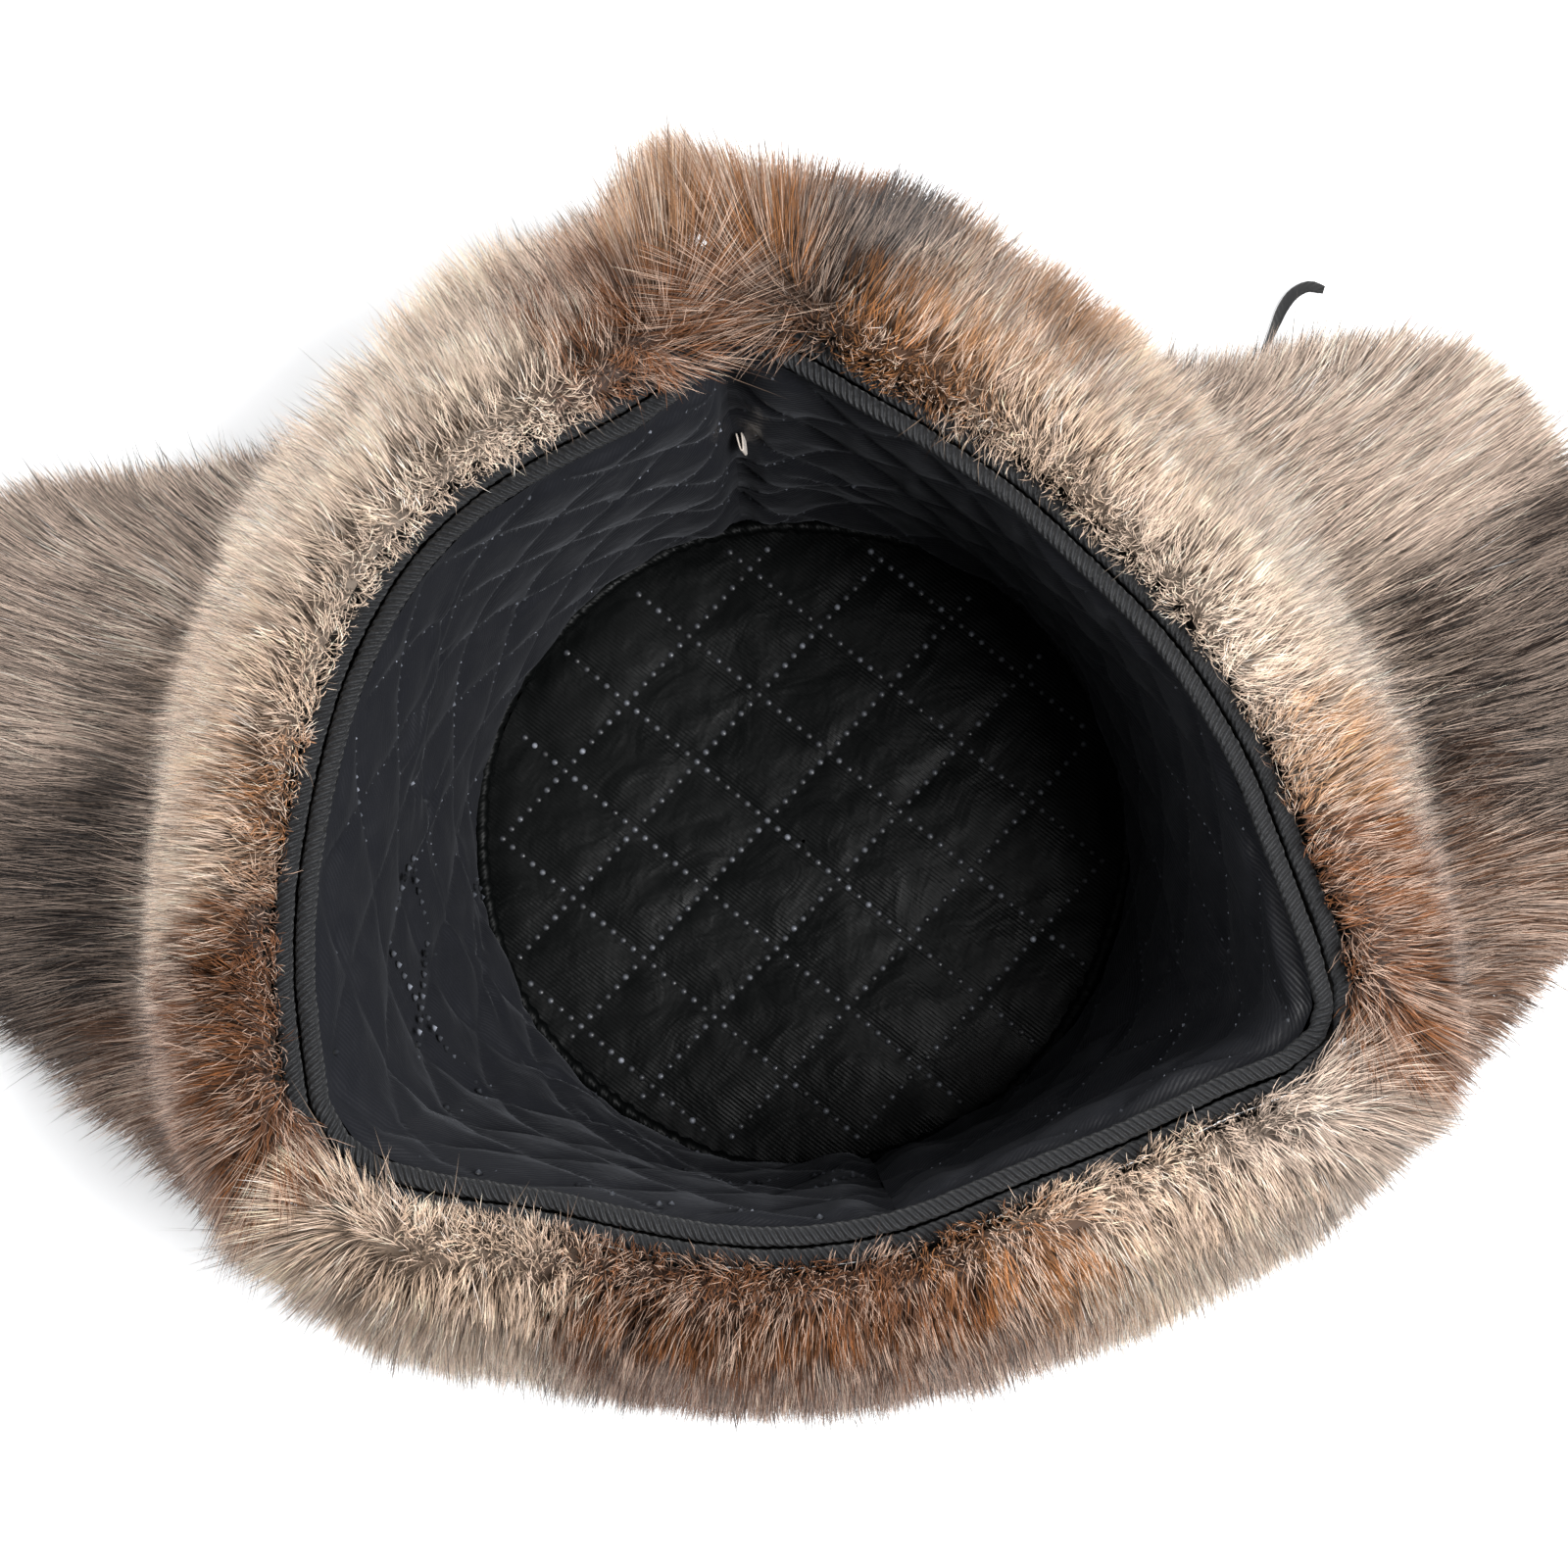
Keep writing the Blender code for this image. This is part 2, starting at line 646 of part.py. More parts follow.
def flaps(collection):
    left = Flap(
        "ear_flap_left",
        FRONT_LEFT_BEARING,
        BACK_BEARING,
        LEFT_SECTIONS,
        NECK_DROP,
        LEFT_EAR_BEARING,
        FLAP_STATIONS,
        FALL_ROWS,
    )
    right = Flap(
        "ear_flap_right",
        FRONT_RIGHT_BEARING,
        BACK_BEARING,
        RIGHT_SECTIONS,
        NECK_DROP,
        RIGHT_EAR_BEARING,
        FLAP_STATIONS,
        FALL_ROWS,
    )
    front = Flap(
        "front_flap",
        FRONT_LEFT_BEARING - 360.0,
        FRONT_RIGHT_BEARING,
        FRONT_SECTIONS,
        FRONT_DROP,
        -90.0,
        FRONT_STATIONS,
        FRONT_FALL_ROWS,
    )
    for flap in (left, right, front):
        flap.build(collection)


def lace_points():
    """The lace's route with points at an even spacing, on a smooth curve."""
    route = np.array(LACE_ROUTE)
    steps = np.linalg.norm(np.diff(route, axis=0), axis=1)
    along = np.concatenate([[0.0], np.cumsum(steps)])
    at = np.linspace(0.0, along[-1], max(2, round(along[-1] / LACE_SPACING)))
    return np.column_stack([curve_through(along, route[:, k], at) for k in range(3)])


def tie_lace(collection):
    """A lace with a free end. It hangs from the neck flap's edge and lies on the surface."""
    points = lace_points()
    curve = bpy.data.curves.new("tie_lace", "CURVE")
    curve.dimensions = "3D"
    curve.bevel_depth = 0.5 * LACE_WIDTH
    curve.bevel_resolution = 2
    curve.use_fill_caps = True
    spline = curve.splines.new("POLY")
    spline.points.add(len(points) - 1)
    for point, place in zip(spline.points, points):
        point.co = (*place, 1.0)
    return add_object("tie_lace", curve, LACE, collection)


def woven_tag(collection):
    """A small blank tag that stands out of the lining's back seam."""
    low = lining_end_height()
    height = low + TAG_LEVEL * (RIM_HEIGHT - low)
    angle = math.radians(BACK_BEARING)
    tip = TIP_RADIUS * np.array([math.cos(angle), math.sin(angle)])
    rim = rim_offset([BACK_BEARING], -wall_stack())[0]
    seat = tip + TAG_LEVEL * (rim - tip)
    outward = rim_outward([BACK_BEARING])[0]
    middle = seat - (GAP + 0.0012 + 0.5 * TAG_REACH) * outward
    bpy.ops.mesh.primitive_cube_add(size=1.0)
    obj = bpy.context.active_object
    obj.name = obj.data.name = "woven_tag"
    for owner in list(obj.users_collection):
        owner.objects.unlink(obj)
    collection.objects.link(obj)
    obj.data.materials.append(material_of(WOVEN))
    for vertex in obj.data.vertices:
        vertex.co.x *= TAG_REACH
        vertex.co.y *= TAG_THICKNESS
        vertex.co.z *= TAG_HEIGHT
    obj.location = (middle[0], middle[1], height)
    obj.rotation_euler = (0.0, 0.0, math.atan2(outward[1], outward[0]))
    return obj


def main():
    clear_scene()
    collection = hat_collection()
    crown(collection)
    tapes(collection)
    flaps(collection)
    tie_lace(collection)
    woven_tag(collection)


main()
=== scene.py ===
"""An aviator hat with long fur flaps, resting on its crown with the quilted head opening up.

Run as a script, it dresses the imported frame: leather, quilted taffeta, ribbed tapes, a lace and fur.
Lengths are metres unless a name ends in mm, and +Z is up.
"""

import math
from collections import namedtuple

import bpy
import numpy as np
from bpy.props import FloatProperty, FloatVectorProperty, IntProperty, PointerProperty
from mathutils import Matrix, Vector
from mathutils.bvhtree import BVHTree
from mathutils.kdtree import KDTree


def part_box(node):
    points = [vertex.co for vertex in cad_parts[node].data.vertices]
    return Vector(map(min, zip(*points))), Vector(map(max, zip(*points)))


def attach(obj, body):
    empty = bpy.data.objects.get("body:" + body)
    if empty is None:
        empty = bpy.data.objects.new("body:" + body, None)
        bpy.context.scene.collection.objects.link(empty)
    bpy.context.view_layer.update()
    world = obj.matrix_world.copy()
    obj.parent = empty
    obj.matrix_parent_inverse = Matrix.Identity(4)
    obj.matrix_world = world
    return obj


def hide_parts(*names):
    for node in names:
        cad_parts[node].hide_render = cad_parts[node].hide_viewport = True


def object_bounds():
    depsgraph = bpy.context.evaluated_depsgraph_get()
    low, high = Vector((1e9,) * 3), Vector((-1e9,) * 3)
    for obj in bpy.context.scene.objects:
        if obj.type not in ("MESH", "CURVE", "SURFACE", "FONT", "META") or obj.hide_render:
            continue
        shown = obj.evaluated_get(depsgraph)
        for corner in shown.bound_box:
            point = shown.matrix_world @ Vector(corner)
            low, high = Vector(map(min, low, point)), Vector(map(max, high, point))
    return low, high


bl_info = {
    "name": "Aviator Hat",
    "version": (1, 0, 0),
    "blender": (4, 5, 0),
    "location": "3D Viewport > Sidebar > Hat",
    "description": "Dresses a leather aviator hat with long fur flaps and a quilted lining",
    "category": "Object",
}

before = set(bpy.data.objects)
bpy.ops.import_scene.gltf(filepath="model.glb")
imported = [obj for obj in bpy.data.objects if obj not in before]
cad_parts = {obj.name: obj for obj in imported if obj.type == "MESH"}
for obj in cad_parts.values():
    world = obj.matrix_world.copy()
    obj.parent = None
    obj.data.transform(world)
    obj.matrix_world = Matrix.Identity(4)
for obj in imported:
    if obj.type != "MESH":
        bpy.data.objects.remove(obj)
CAD_BOX = [[float(value) for value in corner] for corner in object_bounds()]

MM = 0.001
BODY = "root"

# Where the hat's own seams are, in degrees from +X seen from above
BACK_SEAM = 93.4
FRONT_SEAM = -86.0

# The lace, from under the right ear flap down to the surface and out past the fur, in metres.
LACE_ROUTE = (
    (0.0960, 0.0660, 0.0540),
    (0.0960, 0.0662, 0.0430),
    (0.0961, 0.0665, 0.0320),
    (0.0963, 0.0669, 0.0200),
    (0.0972, 0.0680, 0.0110),
    (0.0993, 0.0703, 0.0052),
    (0.1025, 0.0738, 0.0026),
    (0.1065, 0.0787, 0.0018),
    (0.1120, 0.0862, 0.0017),
    (0.1175, 0.0945, 0.0017),
    (0.1220, 0.1017, 0.0017),
    (0.1243, 0.1057, 0.0017),
    (0.1267, 0.1095, 0.0017),
    (0.1298, 0.1125, 0.0017),
    (0.1334, 0.1136, 0.0017),
    (0.1366, 0.1123, 0.0017),
)

# Patches of the coat, seen from above in millimetres: the middle of the patch, its reach and tone.
Patch = namedtuple("Patch", "name x y reach tone")
RING_COAT = (
    Patch("left front end", -114, -52, 22, "rust"),
    Patch("left lower ring", -112, -24, 18, "rust"),
    Patch("left ring, above the rust", -124, 2, 16, "cream"),
    Patch("left ring, inner", -104, 6, 12, "orange"),
    Patch("left ring", -114, 34, 24, "cream"),
    Patch("left ring, upper", -88, 68, 26, "pale"),
    Patch("left ring, top", -58, 96, 20, "pale"),
    Patch("left of the notch", -30, 102, 17, "rust"),
    Patch("left of the notch, inner", -24, 90, 12, "rust"),
    Patch("left corner of the neck", -18, 128, 14, "sand"),
    Patch("right of the notch", 8, 118, 15, "orange"),
    Patch("dark at the notch", 0, 94, 6, "brown"),
    Patch("dark streak", 30, 106, 15, "umber"),
    Patch("right ring, inner", 36, 84, 11, "orange"),
    Patch("right ring, top", 60, 92, 18, "sand"),
    Patch("right ring, upper", 80, 62, 20, "cream"),
    Patch("right ring", 98, 26, 24, "pale"),
    Patch("right ring, lower", 108, -8, 14, "sand"),
    Patch("right ring, brown", 112, -42, 23, "rust"),
    Patch("right ring, inner brown", 94, -38, 16, "rust"),
    Patch("right ring, dark", 116, -50, 13, "umber"),
    Patch("right front end", 106, -66, 22, "rust"),
)
# The wings' umber patches are partly painted shade: the wings' inner parts lie in the ring's shadow,
# and that dark went into their tone.
WING_COAT = (
    Patch("left wing, top", -150, 84, 24, "grey"),
    Patch("left wing", -158, 52, 22, "grey"),
    Patch("left wing, dark", -148, 18, 22, "umber"),
    Patch("left wing, low", -166, -10, 20, "umber"),
    Patch("left wing, edge", -146, -34, 18, "brown"),
    Patch("right wing, top", 152, 82, 18, "beige"),
    Patch("right wing", 142, 54, 16, "beige"),
    Patch("right wing, dark", 156, 10, 28, "umber"),
    Patch("right wing, dark edge", 164, -6, 15, "umber"),
    Patch("right wing, low", 156, -32, 18, "brown"),
    Patch("right wing, edge", 148, -50, 16, "brown"),
)
FRONT_COAT = (
    Patch("left end", -106, -76, 22, "cream"),
    Patch("left", -80, -88, 20, "cream"),
    Patch("middle left", -48, -100, 15, "rust"),
    Patch("middle", -20, -106, 16, "rust"),
    Patch("middle right", 8, -104, 15, "rust"),
    Patch("right of the middle", 32, -102, 13, "orange"),
    Patch("right", 58, -94, 20, "cream"),
    Patch("right end", 94, -80, 24, "beige"),
    Patch("right end, beside the ring", 108, -66, 13, "rust"),
)
# The ear flaps' fur turns from the ring's coat to the wings' in this stretch of height.
WING_TOP_MM = 60.0
RING_LOW_MM = 78.0

# How far the hair at the rim leans in over the tapes, by bearing in degrees from +X.
SeamLean = namedtuple("SeamLean", "bearing share")
SEAM_LEAN = (
    SeamLean(-180, 0.35),
    SeamLean(-160, 0.25),
    SeamLean(-148, 0.5),
    SeamLean(-136, 1.7),
    SeamLean(-122, 1.3),
    SeamLean(-110, 0.45),
    SeamLean(-80, 0.3),
    SeamLean(-60, 0.6),
    SeamLean(-40, 0.5),
    SeamLean(-20, 0.05),
    SeamLean(0, 0.1),
    SeamLean(20, 0.6),
    SeamLean(50, 0.8),
    SeamLean(75, 0.7),
    SeamLean(93, 1.2),
    SeamLean(110, 0.8),
    SeamLean(150, 0.7),
    SeamLean(180, 0.35),
)


def linear(text):
    """An sRGB hex colour as linear red, green and blue."""
    values = [int(text[i : i + 2], 16) / 255 for i in (1, 3, 5)]
    return tuple(v / 12.92 if v <= 0.04045 else ((v + 0.055) / 1.055) ** 2.4 for v in values)


def colour_setting(name, description, text):
    return FloatVectorProperty(
        name=name, description=description, default=linear(text), subtype="COLOR", min=0.0, max=1.0
    )


def length_setting(name, description, metres):
    return FloatProperty(name=name, description=description, default=metres, unit="LENGTH", min=0.0)


class HatSizes(bpy.types.PropertyGroup):
    """Sizes of what the hat is finished with."""

    quilt_side: length_setting("Quilt side", "Side of a quilted diamond", 20.8 * MM)
    quilt_puff: length_setting("Quilt puff", "How far a diamond stands over its welds", 1.3 * MM)
    weld_width: length_setting("Weld width", "Width of a weld dot", 1.8 * MM)
    welds_per_side: IntProperty(
        name="Welds per side", description="Weld dots along a diamond's side", default=7, min=2
    )
    tape_width: length_setting("Tape width", "Width of each ribbed tape round the rim", 3.6 * MM)
    tape_rise: length_setting("Tape rise", "Thickness of a folded tape", 2.9 * MM)
    lace_width: length_setting("Lace width", "Width of the flat lace", 2.8 * MM)
    lace_thickness: length_setting("Lace thickness", "Thickness of the flat lace", 0.9 * MM)
    underfur_width: length_setting("Underfur width", "Width of a wisp of underfur", 0.30 * MM)
    guard_width: length_setting("Guard hair width", "Width of a guard hair", 0.20 * MM)
    lock_spacing: length_setting("Lock spacing", "Distance between locks of fur", 4.2 * MM)


class HatColours(bpy.types.PropertyGroup):
    """Colours of the hat's own finishes, with the round end's taffeta painted darker as shade, and of
    each tone of the coat.
    """

    leather: colour_setting("Leather", "Grain leather of the crown and the flaps' backs", "#171513")
    taffeta: colour_setting("Taffeta", "Quilted sides of the lining", "#1b1c20")
    # The round end's taffeta is the sides' cloth painted darker, as painted shade for the end deep in
    # the hat.
    taffeta_end: colour_setting("Taffeta end", "Quilted round end of the lining", "#050606")
    weld: colour_setting("Welds", "Melted film in the weld dots", "#3c3e43")
    tape: colour_setting("Tape", "Ribbed binding tape", "#0d0e10")
    lace: colour_setting("Lace", "Flat lace", "#0f0f10")
    tag: colour_setting("Tag", "Woven tag", "#cbbfb4")
    cream: colour_setting("Cream coat", "Cream tone of the fur", "#e9c9ae")
    pale: colour_setting("Pale coat", "Palest tone of the fur", "#f3d8c0")
    sand: colour_setting("Sand coat", "Sandy tone of the fur", "#bd8f69")
    orange: colour_setting("Orange coat", "Orange-brown tone of the fur", "#9c6537")
    rust: colour_setting("Rust coat", "Rust-brown tone of the fur", "#7c4c2a")
    brown: colour_setting("Brown coat", "Brown tone of the fur", "#70503c")
    umber: colour_setting("Umber coat", "Darkest tone of the fur", "#2c201a")
    grey: colour_setting("Grey coat", "Grey-brown tone of the fur", "#8d7c70")
    beige: colour_setting("Beige coat", "Beige-grey tone of the fur", "#c4ae9d")
    hair_tip: colour_setting("Hair tips", "Pale end of a guard hair", "#f8dcc8")
    floor: colour_setting("Floor", "Studio floor", "#f7f7f8")


def sizes():
    return bpy.context.scene.hat_sizes


def colours():
    return bpy.context.scene.hat_colours


# Making meshes


def add_piece(name, mesh, material):
    obj = bpy.data.objects.new(name, mesh)
    mesh.materials.append(material)
    bpy.context.scene.collection.objects.link(obj)
    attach(obj, BODY)
    return obj


def mesh_of(name, points, corners, counts):
    """A mesh from arrays: its points, every face's corners one after another, and corners per face."""
    mesh = bpy.data.meshes.new(name)
    mesh.vertices.add(len(points))
    mesh.vertices.foreach_set("co", np.asarray(points, np.float32).ravel())
    mesh.loops.add(len(corners))
    mesh.loops.foreach_set("vertex_index", np.asarray(corners, np.int32).ravel())
    mesh.polygons.add(len(counts))
    starts = np.concatenate([[0], np.cumsum(counts)[:-1]])
    mesh.polygons.foreach_set("loop_start", starts.astype(np.int32))
    mesh.update(calc_edges=True)
    mesh.shade_smooth()
    return mesh


def add_uv(mesh, name, corner_uv):
    layer = mesh.uv_layers.new(name=name)
    layer.data.foreach_set("uv", np.asarray(corner_uv, np.float32).ravel())


def grid_corners(rows, columns, close_rows=False, close_columns=False):
    """Corners of the faces of a grid of points."""
    i = np.arange(rows if close_rows else rows - 1)[:, None]
    j = np.arange(columns if close_columns else columns - 1)[None, :]
    i_next = (i + 1) % rows
    j_next = (j + 1) % columns
    quads = np.stack(
        [i * columns + j, i * columns + j_next, i_next * columns + j_next, i_next * columns + j], -1
    )
    return quads.reshape(-1, 4)


def grid_mesh(name, points, flip=False, close_rows=False, close_columns=False, uv=None):
    rows, columns = points.shape[:2]
    quads = grid_corners(rows, columns, close_rows, close_columns)
    if flip:
        quads = quads[:, ::-1]
    mesh = mesh_of(name, points.reshape(-1, 3), quads.ravel(), np.full(len(quads), 4))
    if uv is not None:
        add_uv(mesh, "cloth", uv.reshape(-1, 2)[quads.ravel()])
    return mesh


def unit(vectors):
    length = np.linalg.norm(vectors, axis=-1, keepdims=True)
    return vectors / np.maximum(length, 1e-12)


def smoothstep(x):
    x = np.clip(x, 0.0, 1.0)
    return x * x * (3 - 2 * x)


def node_surface(*names):
    """Points and triangles of CAD nodes, with the points that faces share made one."""
    all_points, all_faces, count = [], [], 0
    for name in names:
        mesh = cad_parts[name].data
        points = np.empty(len(mesh.vertices) * 3)
        mesh.vertices.foreach_get("co", points)
        mesh.calc_loop_triangles()
        faces = np.empty(len(mesh.loop_triangles) * 3, int)
        mesh.loop_triangles.foreach_get("vertices", faces)
        all_points.append(points.reshape(-1, 3))
        all_faces.append(faces.reshape(-1, 3) + count)
        count += len(mesh.vertices)
    points, faces = np.concatenate(all_points), np.concatenate(all_faces)
    welded, index = np.unique(np.round(points, 6), axis=0, return_inverse=True)
    return welded, index.reshape(-1)[faces]


def tree_of(points, faces):
    return BVHTree.FromPolygons(points.tolist(), faces.tolist())


def wave_field(places, rng, count, reach, power=1.0):
    """Smooth noise from a few seeded waves, about -1 to 1, for points of any dimension."""
    total = np.zeros(places.shape[:-1])
    for _ in range(count):
        way = rng.normal(size=places.shape[-1])
        way /= np.linalg.norm(way)
        pitch = reach * rng.uniform(0.6, 1.6)
        total += np.sin(places @ way * 2 * math.pi / pitch + rng.uniform(0, 2 * math.pi))
    return total / math.sqrt(0.5 * count) * 0.7 * power


# Materials


def add_node(tree, kind, values=None, links=None, **settings):
    """Adds a node with its settings, its inputs' values, and its inputs' links from other sockets."""
    node = tree.nodes.new(kind)
    for name, value in settings.items():
        setattr(node, name, value)
    for key, value in (values or {}).items():
        node.inputs[key].default_value = value
    for key, socket in (links or {}).items():
        tree.links.new(socket, node.inputs[key])
    return node


def new_material(name):
    material = bpy.data.materials.new(name)
    material.use_nodes = True
    tree = material.node_tree
    return material, tree, tree.nodes["Principled BSDF"]


def set_shader(shader, colour, roughness, specular=0.5, sheen=0.0, coat=0.0):
    shader.inputs["Base Color"].default_value = (*colour, 1.0)
    shader.inputs["Roughness"].default_value = roughness
    shader.inputs["Specular IOR Level"].default_value = specular
    shader.inputs["Sheen Weight"].default_value = sheen
    shader.inputs["Coat Weight"].default_value = coat


def grain_leather():
    """Drum-dyed sheep leather: a fine pebbled grain with soft creases, and a low uneven gloss."""
    material, tree, shader = new_material("grain_leather")
    set_shader(shader, colours().leather, 0.52, specular=0.45)
    place = add_node(tree, "ShaderNodeTexCoord").outputs["Object"]
    # Pebbles 1.1 mm across
    pebble = add_node(
        tree, "ShaderNodeTexVoronoi", {"Scale": 900.0}, {"Vector": place}, feature="SMOOTH_F1"
    )
    crease = add_node(
        tree, "ShaderNodeTexNoise", {"Scale": 130.0, "Detail": 5.0, "Roughness": 0.6}, {"Vector": place}
    )
    wear = add_node(tree, "ShaderNodeTexNoise", {"Scale": 28.0, "Detail": 3.0}, {"Vector": place})
    height = add_node(
        tree,
        "ShaderNodeMath",
        {2: 0.0},
        {0: pebble.outputs["Distance"], 1: crease.outputs["Fac"]},
        operation="ADD",
    )
    bump = add_node(
        tree, "ShaderNodeBump", {"Strength": 0.5, "Distance": 0.0005}, {"Height": height.outputs[0]}
    )
    tree.links.new(bump.outputs["Normal"], shader.inputs["Normal"])
    gloss = add_node(
        tree,
        "ShaderNodeMapRange",
        {"From Min": 0.3, "From Max": 0.7, "To Min": 0.42, "To Max": 0.62},
        {"Value": wear.outputs["Fac"]},
    )
    tree.links.new(gloss.outputs["Result"], shader.inputs["Roughness"])
    dark = colours().leather
    shade = add_node(
        tree,
        "ShaderNodeMix",
        {6: (*dark, 1.0), 7: tuple(2.1 * c for c in dark) + (1.0,)},
        {0: wear.outputs["Fac"]},
        data_type="RGBA",
    )
    tree.links.new(shade.outputs[2], shader.inputs["Base Color"])
    return material


def quilted_taffeta(name, colour, specular):
    """Polyester taffeta with a twill face: nearly black, with a soft blue-grey gloss on its puckers."""
    material, tree, shader = new_material(name)
    set_shader(shader, colour, 0.42, specular=specular, sheen=0.10 * specular)
    shader.inputs["Sheen Roughness"].default_value = 0.35
    shader.inputs["Sheen Tint"].default_value = (0.75, 0.78, 0.86, 1.0)
    cloth = add_node(tree, "ShaderNodeUVMap", uv_map="cloth").outputs["UV"]
    # Twill ribs are 0.4 mm apart, drawn at 0.6 mm so that they show
    twill = add_node(
        tree,
        "ShaderNodeTexWave",
        {"Scale": 520.0, "Distortion": 0.6, "Detail": 1.0},
        {"Vector": cloth},
        wave_type="BANDS",
        bands_direction="DIAGONAL",
    )
    # Puckers drawn in by the welds, 3 to 6 mm long
    pucker = add_node(
        tree,
        "ShaderNodeTexNoise",
        {"Scale": 240.0, "Detail": 2.0, "Roughness": 0.5, "Distortion": 0.4},
        {"Vector": cloth},
    )
    crumple = add_node(
        tree, "ShaderNodeTexNoise", {"Scale": 70.0, "Detail": 3.0, "Distortion": 1.2}, {"Vector": cloth}
    )
    fine = add_node(
        tree, "ShaderNodeBump", {"Strength": 0.22, "Distance": 0.0002}, {"Height": twill.outputs["Fac"]}
    )
    middle = add_node(
        tree,
        "ShaderNodeBump",
        {"Strength": 0.30, "Distance": 0.0006},
        {"Height": pucker.outputs["Fac"], "Normal": fine.outputs["Normal"]},
    )
    coarse = add_node(
        tree,
        "ShaderNodeBump",
        {"Strength": 0.28, "Distance": 0.0016},
        {"Height": crumple.outputs["Fac"], "Normal": middle.outputs["Normal"]},
    )
    tree.links.new(coarse.outputs["Normal"], shader.inputs["Normal"])
    gloss = add_node(
        tree,
        "ShaderNodeMapRange",
        {"From Min": 0.3, "From Max": 0.7, "To Min": 0.34, "To Max": 0.50},
        {"Value": crumple.outputs["Fac"]},
    )
    tree.links.new(gloss.outputs["Result"], shader.inputs["Roughness"])
    return material


def melted_film():
    """Polyester melted by the welding wheel: a small smooth glossy spot, greyer than the cloth."""
    material, tree, shader = new_material("melted_film")
    set_shader(shader, colours().weld, 0.4, specular=0.3)
    place = add_node(tree, "ShaderNodeTexCoord").outputs["Object"]
    film = add_node(tree, "ShaderNodeAttribute", attribute_name="film", attribute_type="GEOMETRY")
    tree.links.new(film.outputs["Color"], shader.inputs["Base Color"])
    spot = add_node(tree, "ShaderNodeTexNoise", {"Scale": 350.0, "Detail": 1.0}, {"Vector": place})
    gloss = add_node(
        tree,
        "ShaderNodeMapRange",
        {"From Min": 0.3, "From Max": 0.7, "To Min": 0.30, "To Max": 0.55},
        {"Value": spot.outputs["Fac"]},
    )
    tree.links.new(gloss.outputs["Result"], shader.inputs["Roughness"])
    return material


def ribbed_tape():
    """Grosgrain binding: polyester ribs across the tape, dull black, with a painted highlight on each
    rib.
    """
    material, tree, shader = new_material("ribbed_tape")
    set_shader(shader, colours().tape, 0.62, specular=0.35, sheen=0.05)
    cloth = add_node(tree, "ShaderNodeUVMap", uv_map="cloth").outputs["UV"]
    # Slanted ribs 1.1 mm apart
    rib = add_node(
        tree,
        "ShaderNodeTexWave",
        {"Scale": 430.0, "Distortion": 0.4, "Detail": 1.0},
        {"Vector": cloth},
        wave_type="BANDS",
        bands_direction="DIAGONAL",
    )
    fray = add_node(tree, "ShaderNodeTexNoise", {"Scale": 900.0, "Detail": 2.0}, {"Vector": cloth})
    height = add_node(
        tree,
        "ShaderNodeMath",
        {2: 0.0},
        {0: rib.outputs["Fac"], 1: fray.outputs["Fac"]},
        operation="ADD",
    )
    bump = add_node(
        tree, "ShaderNodeBump", {"Strength": 0.9, "Distance": 0.0006}, {"Height": height.outputs[0]}
    )
    tree.links.new(bump.outputs["Normal"], shader.inputs["Normal"])
    # The ribs are painted up to 2.6 times lighter along the wave, a painted highlight on each rib.
    tone = colours().tape
    shade = add_node(
        tree,
        "ShaderNodeMix",
        {6: (*tone, 1.0), 7: tuple(2.6 * c for c in tone) + (1.0,)},
        {0: rib.outputs["Fac"]},
        data_type="RGBA",
    )
    tree.links.new(shade.outputs[2], shader.inputs["Base Color"])
    return material


def braided_cotton():
    """Waxed flat cotton braid: dull black with a fine herringbone."""
    material, tree, shader = new_material("braided_cotton")
    set_shader(shader, colours().lace, 0.7, specular=0.35, sheen=0.2)
    cloth = add_node(tree, "ShaderNodeUVMap", uv_map="cloth").outputs["UV"]
    braid = add_node(
        tree,
        "ShaderNodeTexWave",
        {"Scale": 420.0, "Distortion": 1.0},
        {"Vector": cloth},
        wave_type="BANDS",
        bands_direction="DIAGONAL",
    )
    bump = add_node(
        tree, "ShaderNodeBump", {"Strength": 0.6, "Distance": 0.0003}, {"Height": braid.outputs["Fac"]}
    )
    tree.links.new(bump.outputs["Normal"], shader.inputs["Normal"])
    return material


def damask_ribbon():
    """Satin damask ribbon, woven off-white and left blank, with a fine thread across it."""
    material, tree, shader = new_material("damask_ribbon")
    set_shader(shader, colours().tag, 0.6, specular=0.4, sheen=0.2)
    place = add_node(tree, "ShaderNodeTexCoord").outputs["Object"]
    thread = add_node(
        tree,
        "ShaderNodeTexWave",
        {"Scale": 800.0, "Distortion": 0.4},
        {"Vector": place},
        wave_type="BANDS",
        bands_direction="Z",
    )
    bump = add_node(
        tree, "ShaderNodeBump", {"Strength": 0.4, "Distance": 0.0002}, {"Height": thread.outputs["Fac"]}
    )
    tree.links.new(bump.outputs["Normal"], shader.inputs["Normal"])
    return material


def rabbit_fur(name, sheen):
    """Dyed rabbit fur: each hair dark at its root, partly its own colour and partly painted shade, and
    pale at its tip, with a soft dry sheen.
    """
    material, tree, shader = new_material(name)
    set_shader(shader, (0.5, 0.4, 0.3), 0.6, specular=0.25, sheen=sheen)
    shader.inputs["Sheen Roughness"].default_value = 0.5
    coat = add_node(tree, "ShaderNodeAttribute", attribute_name="coat", attribute_type="GEOMETRY")
    place = add_node(tree, "ShaderNodeTexCoord").outputs["Object"]
    fleck = add_node(tree, "ShaderNodeTexNoise", {"Scale": 420.0, "Detail": 2.0}, {"Vector": place})
    gain = add_node(
        tree,
        "ShaderNodeMapRange",
        {"From Min": 0.3, "From Max": 0.7, "To Min": 0.86, "To Max": 1.12},
        {"Value": fleck.outputs["Fac"]},
    )
    shade = add_node(
        tree,
        "ShaderNodeVectorMath",
        {},
        {0: coat.outputs["Color"], "Scale": gain.outputs["Result"]},
        operation="SCALE",
    )
    tree.links.new(shade.outputs[0], shader.inputs["Base Color"])
    return material


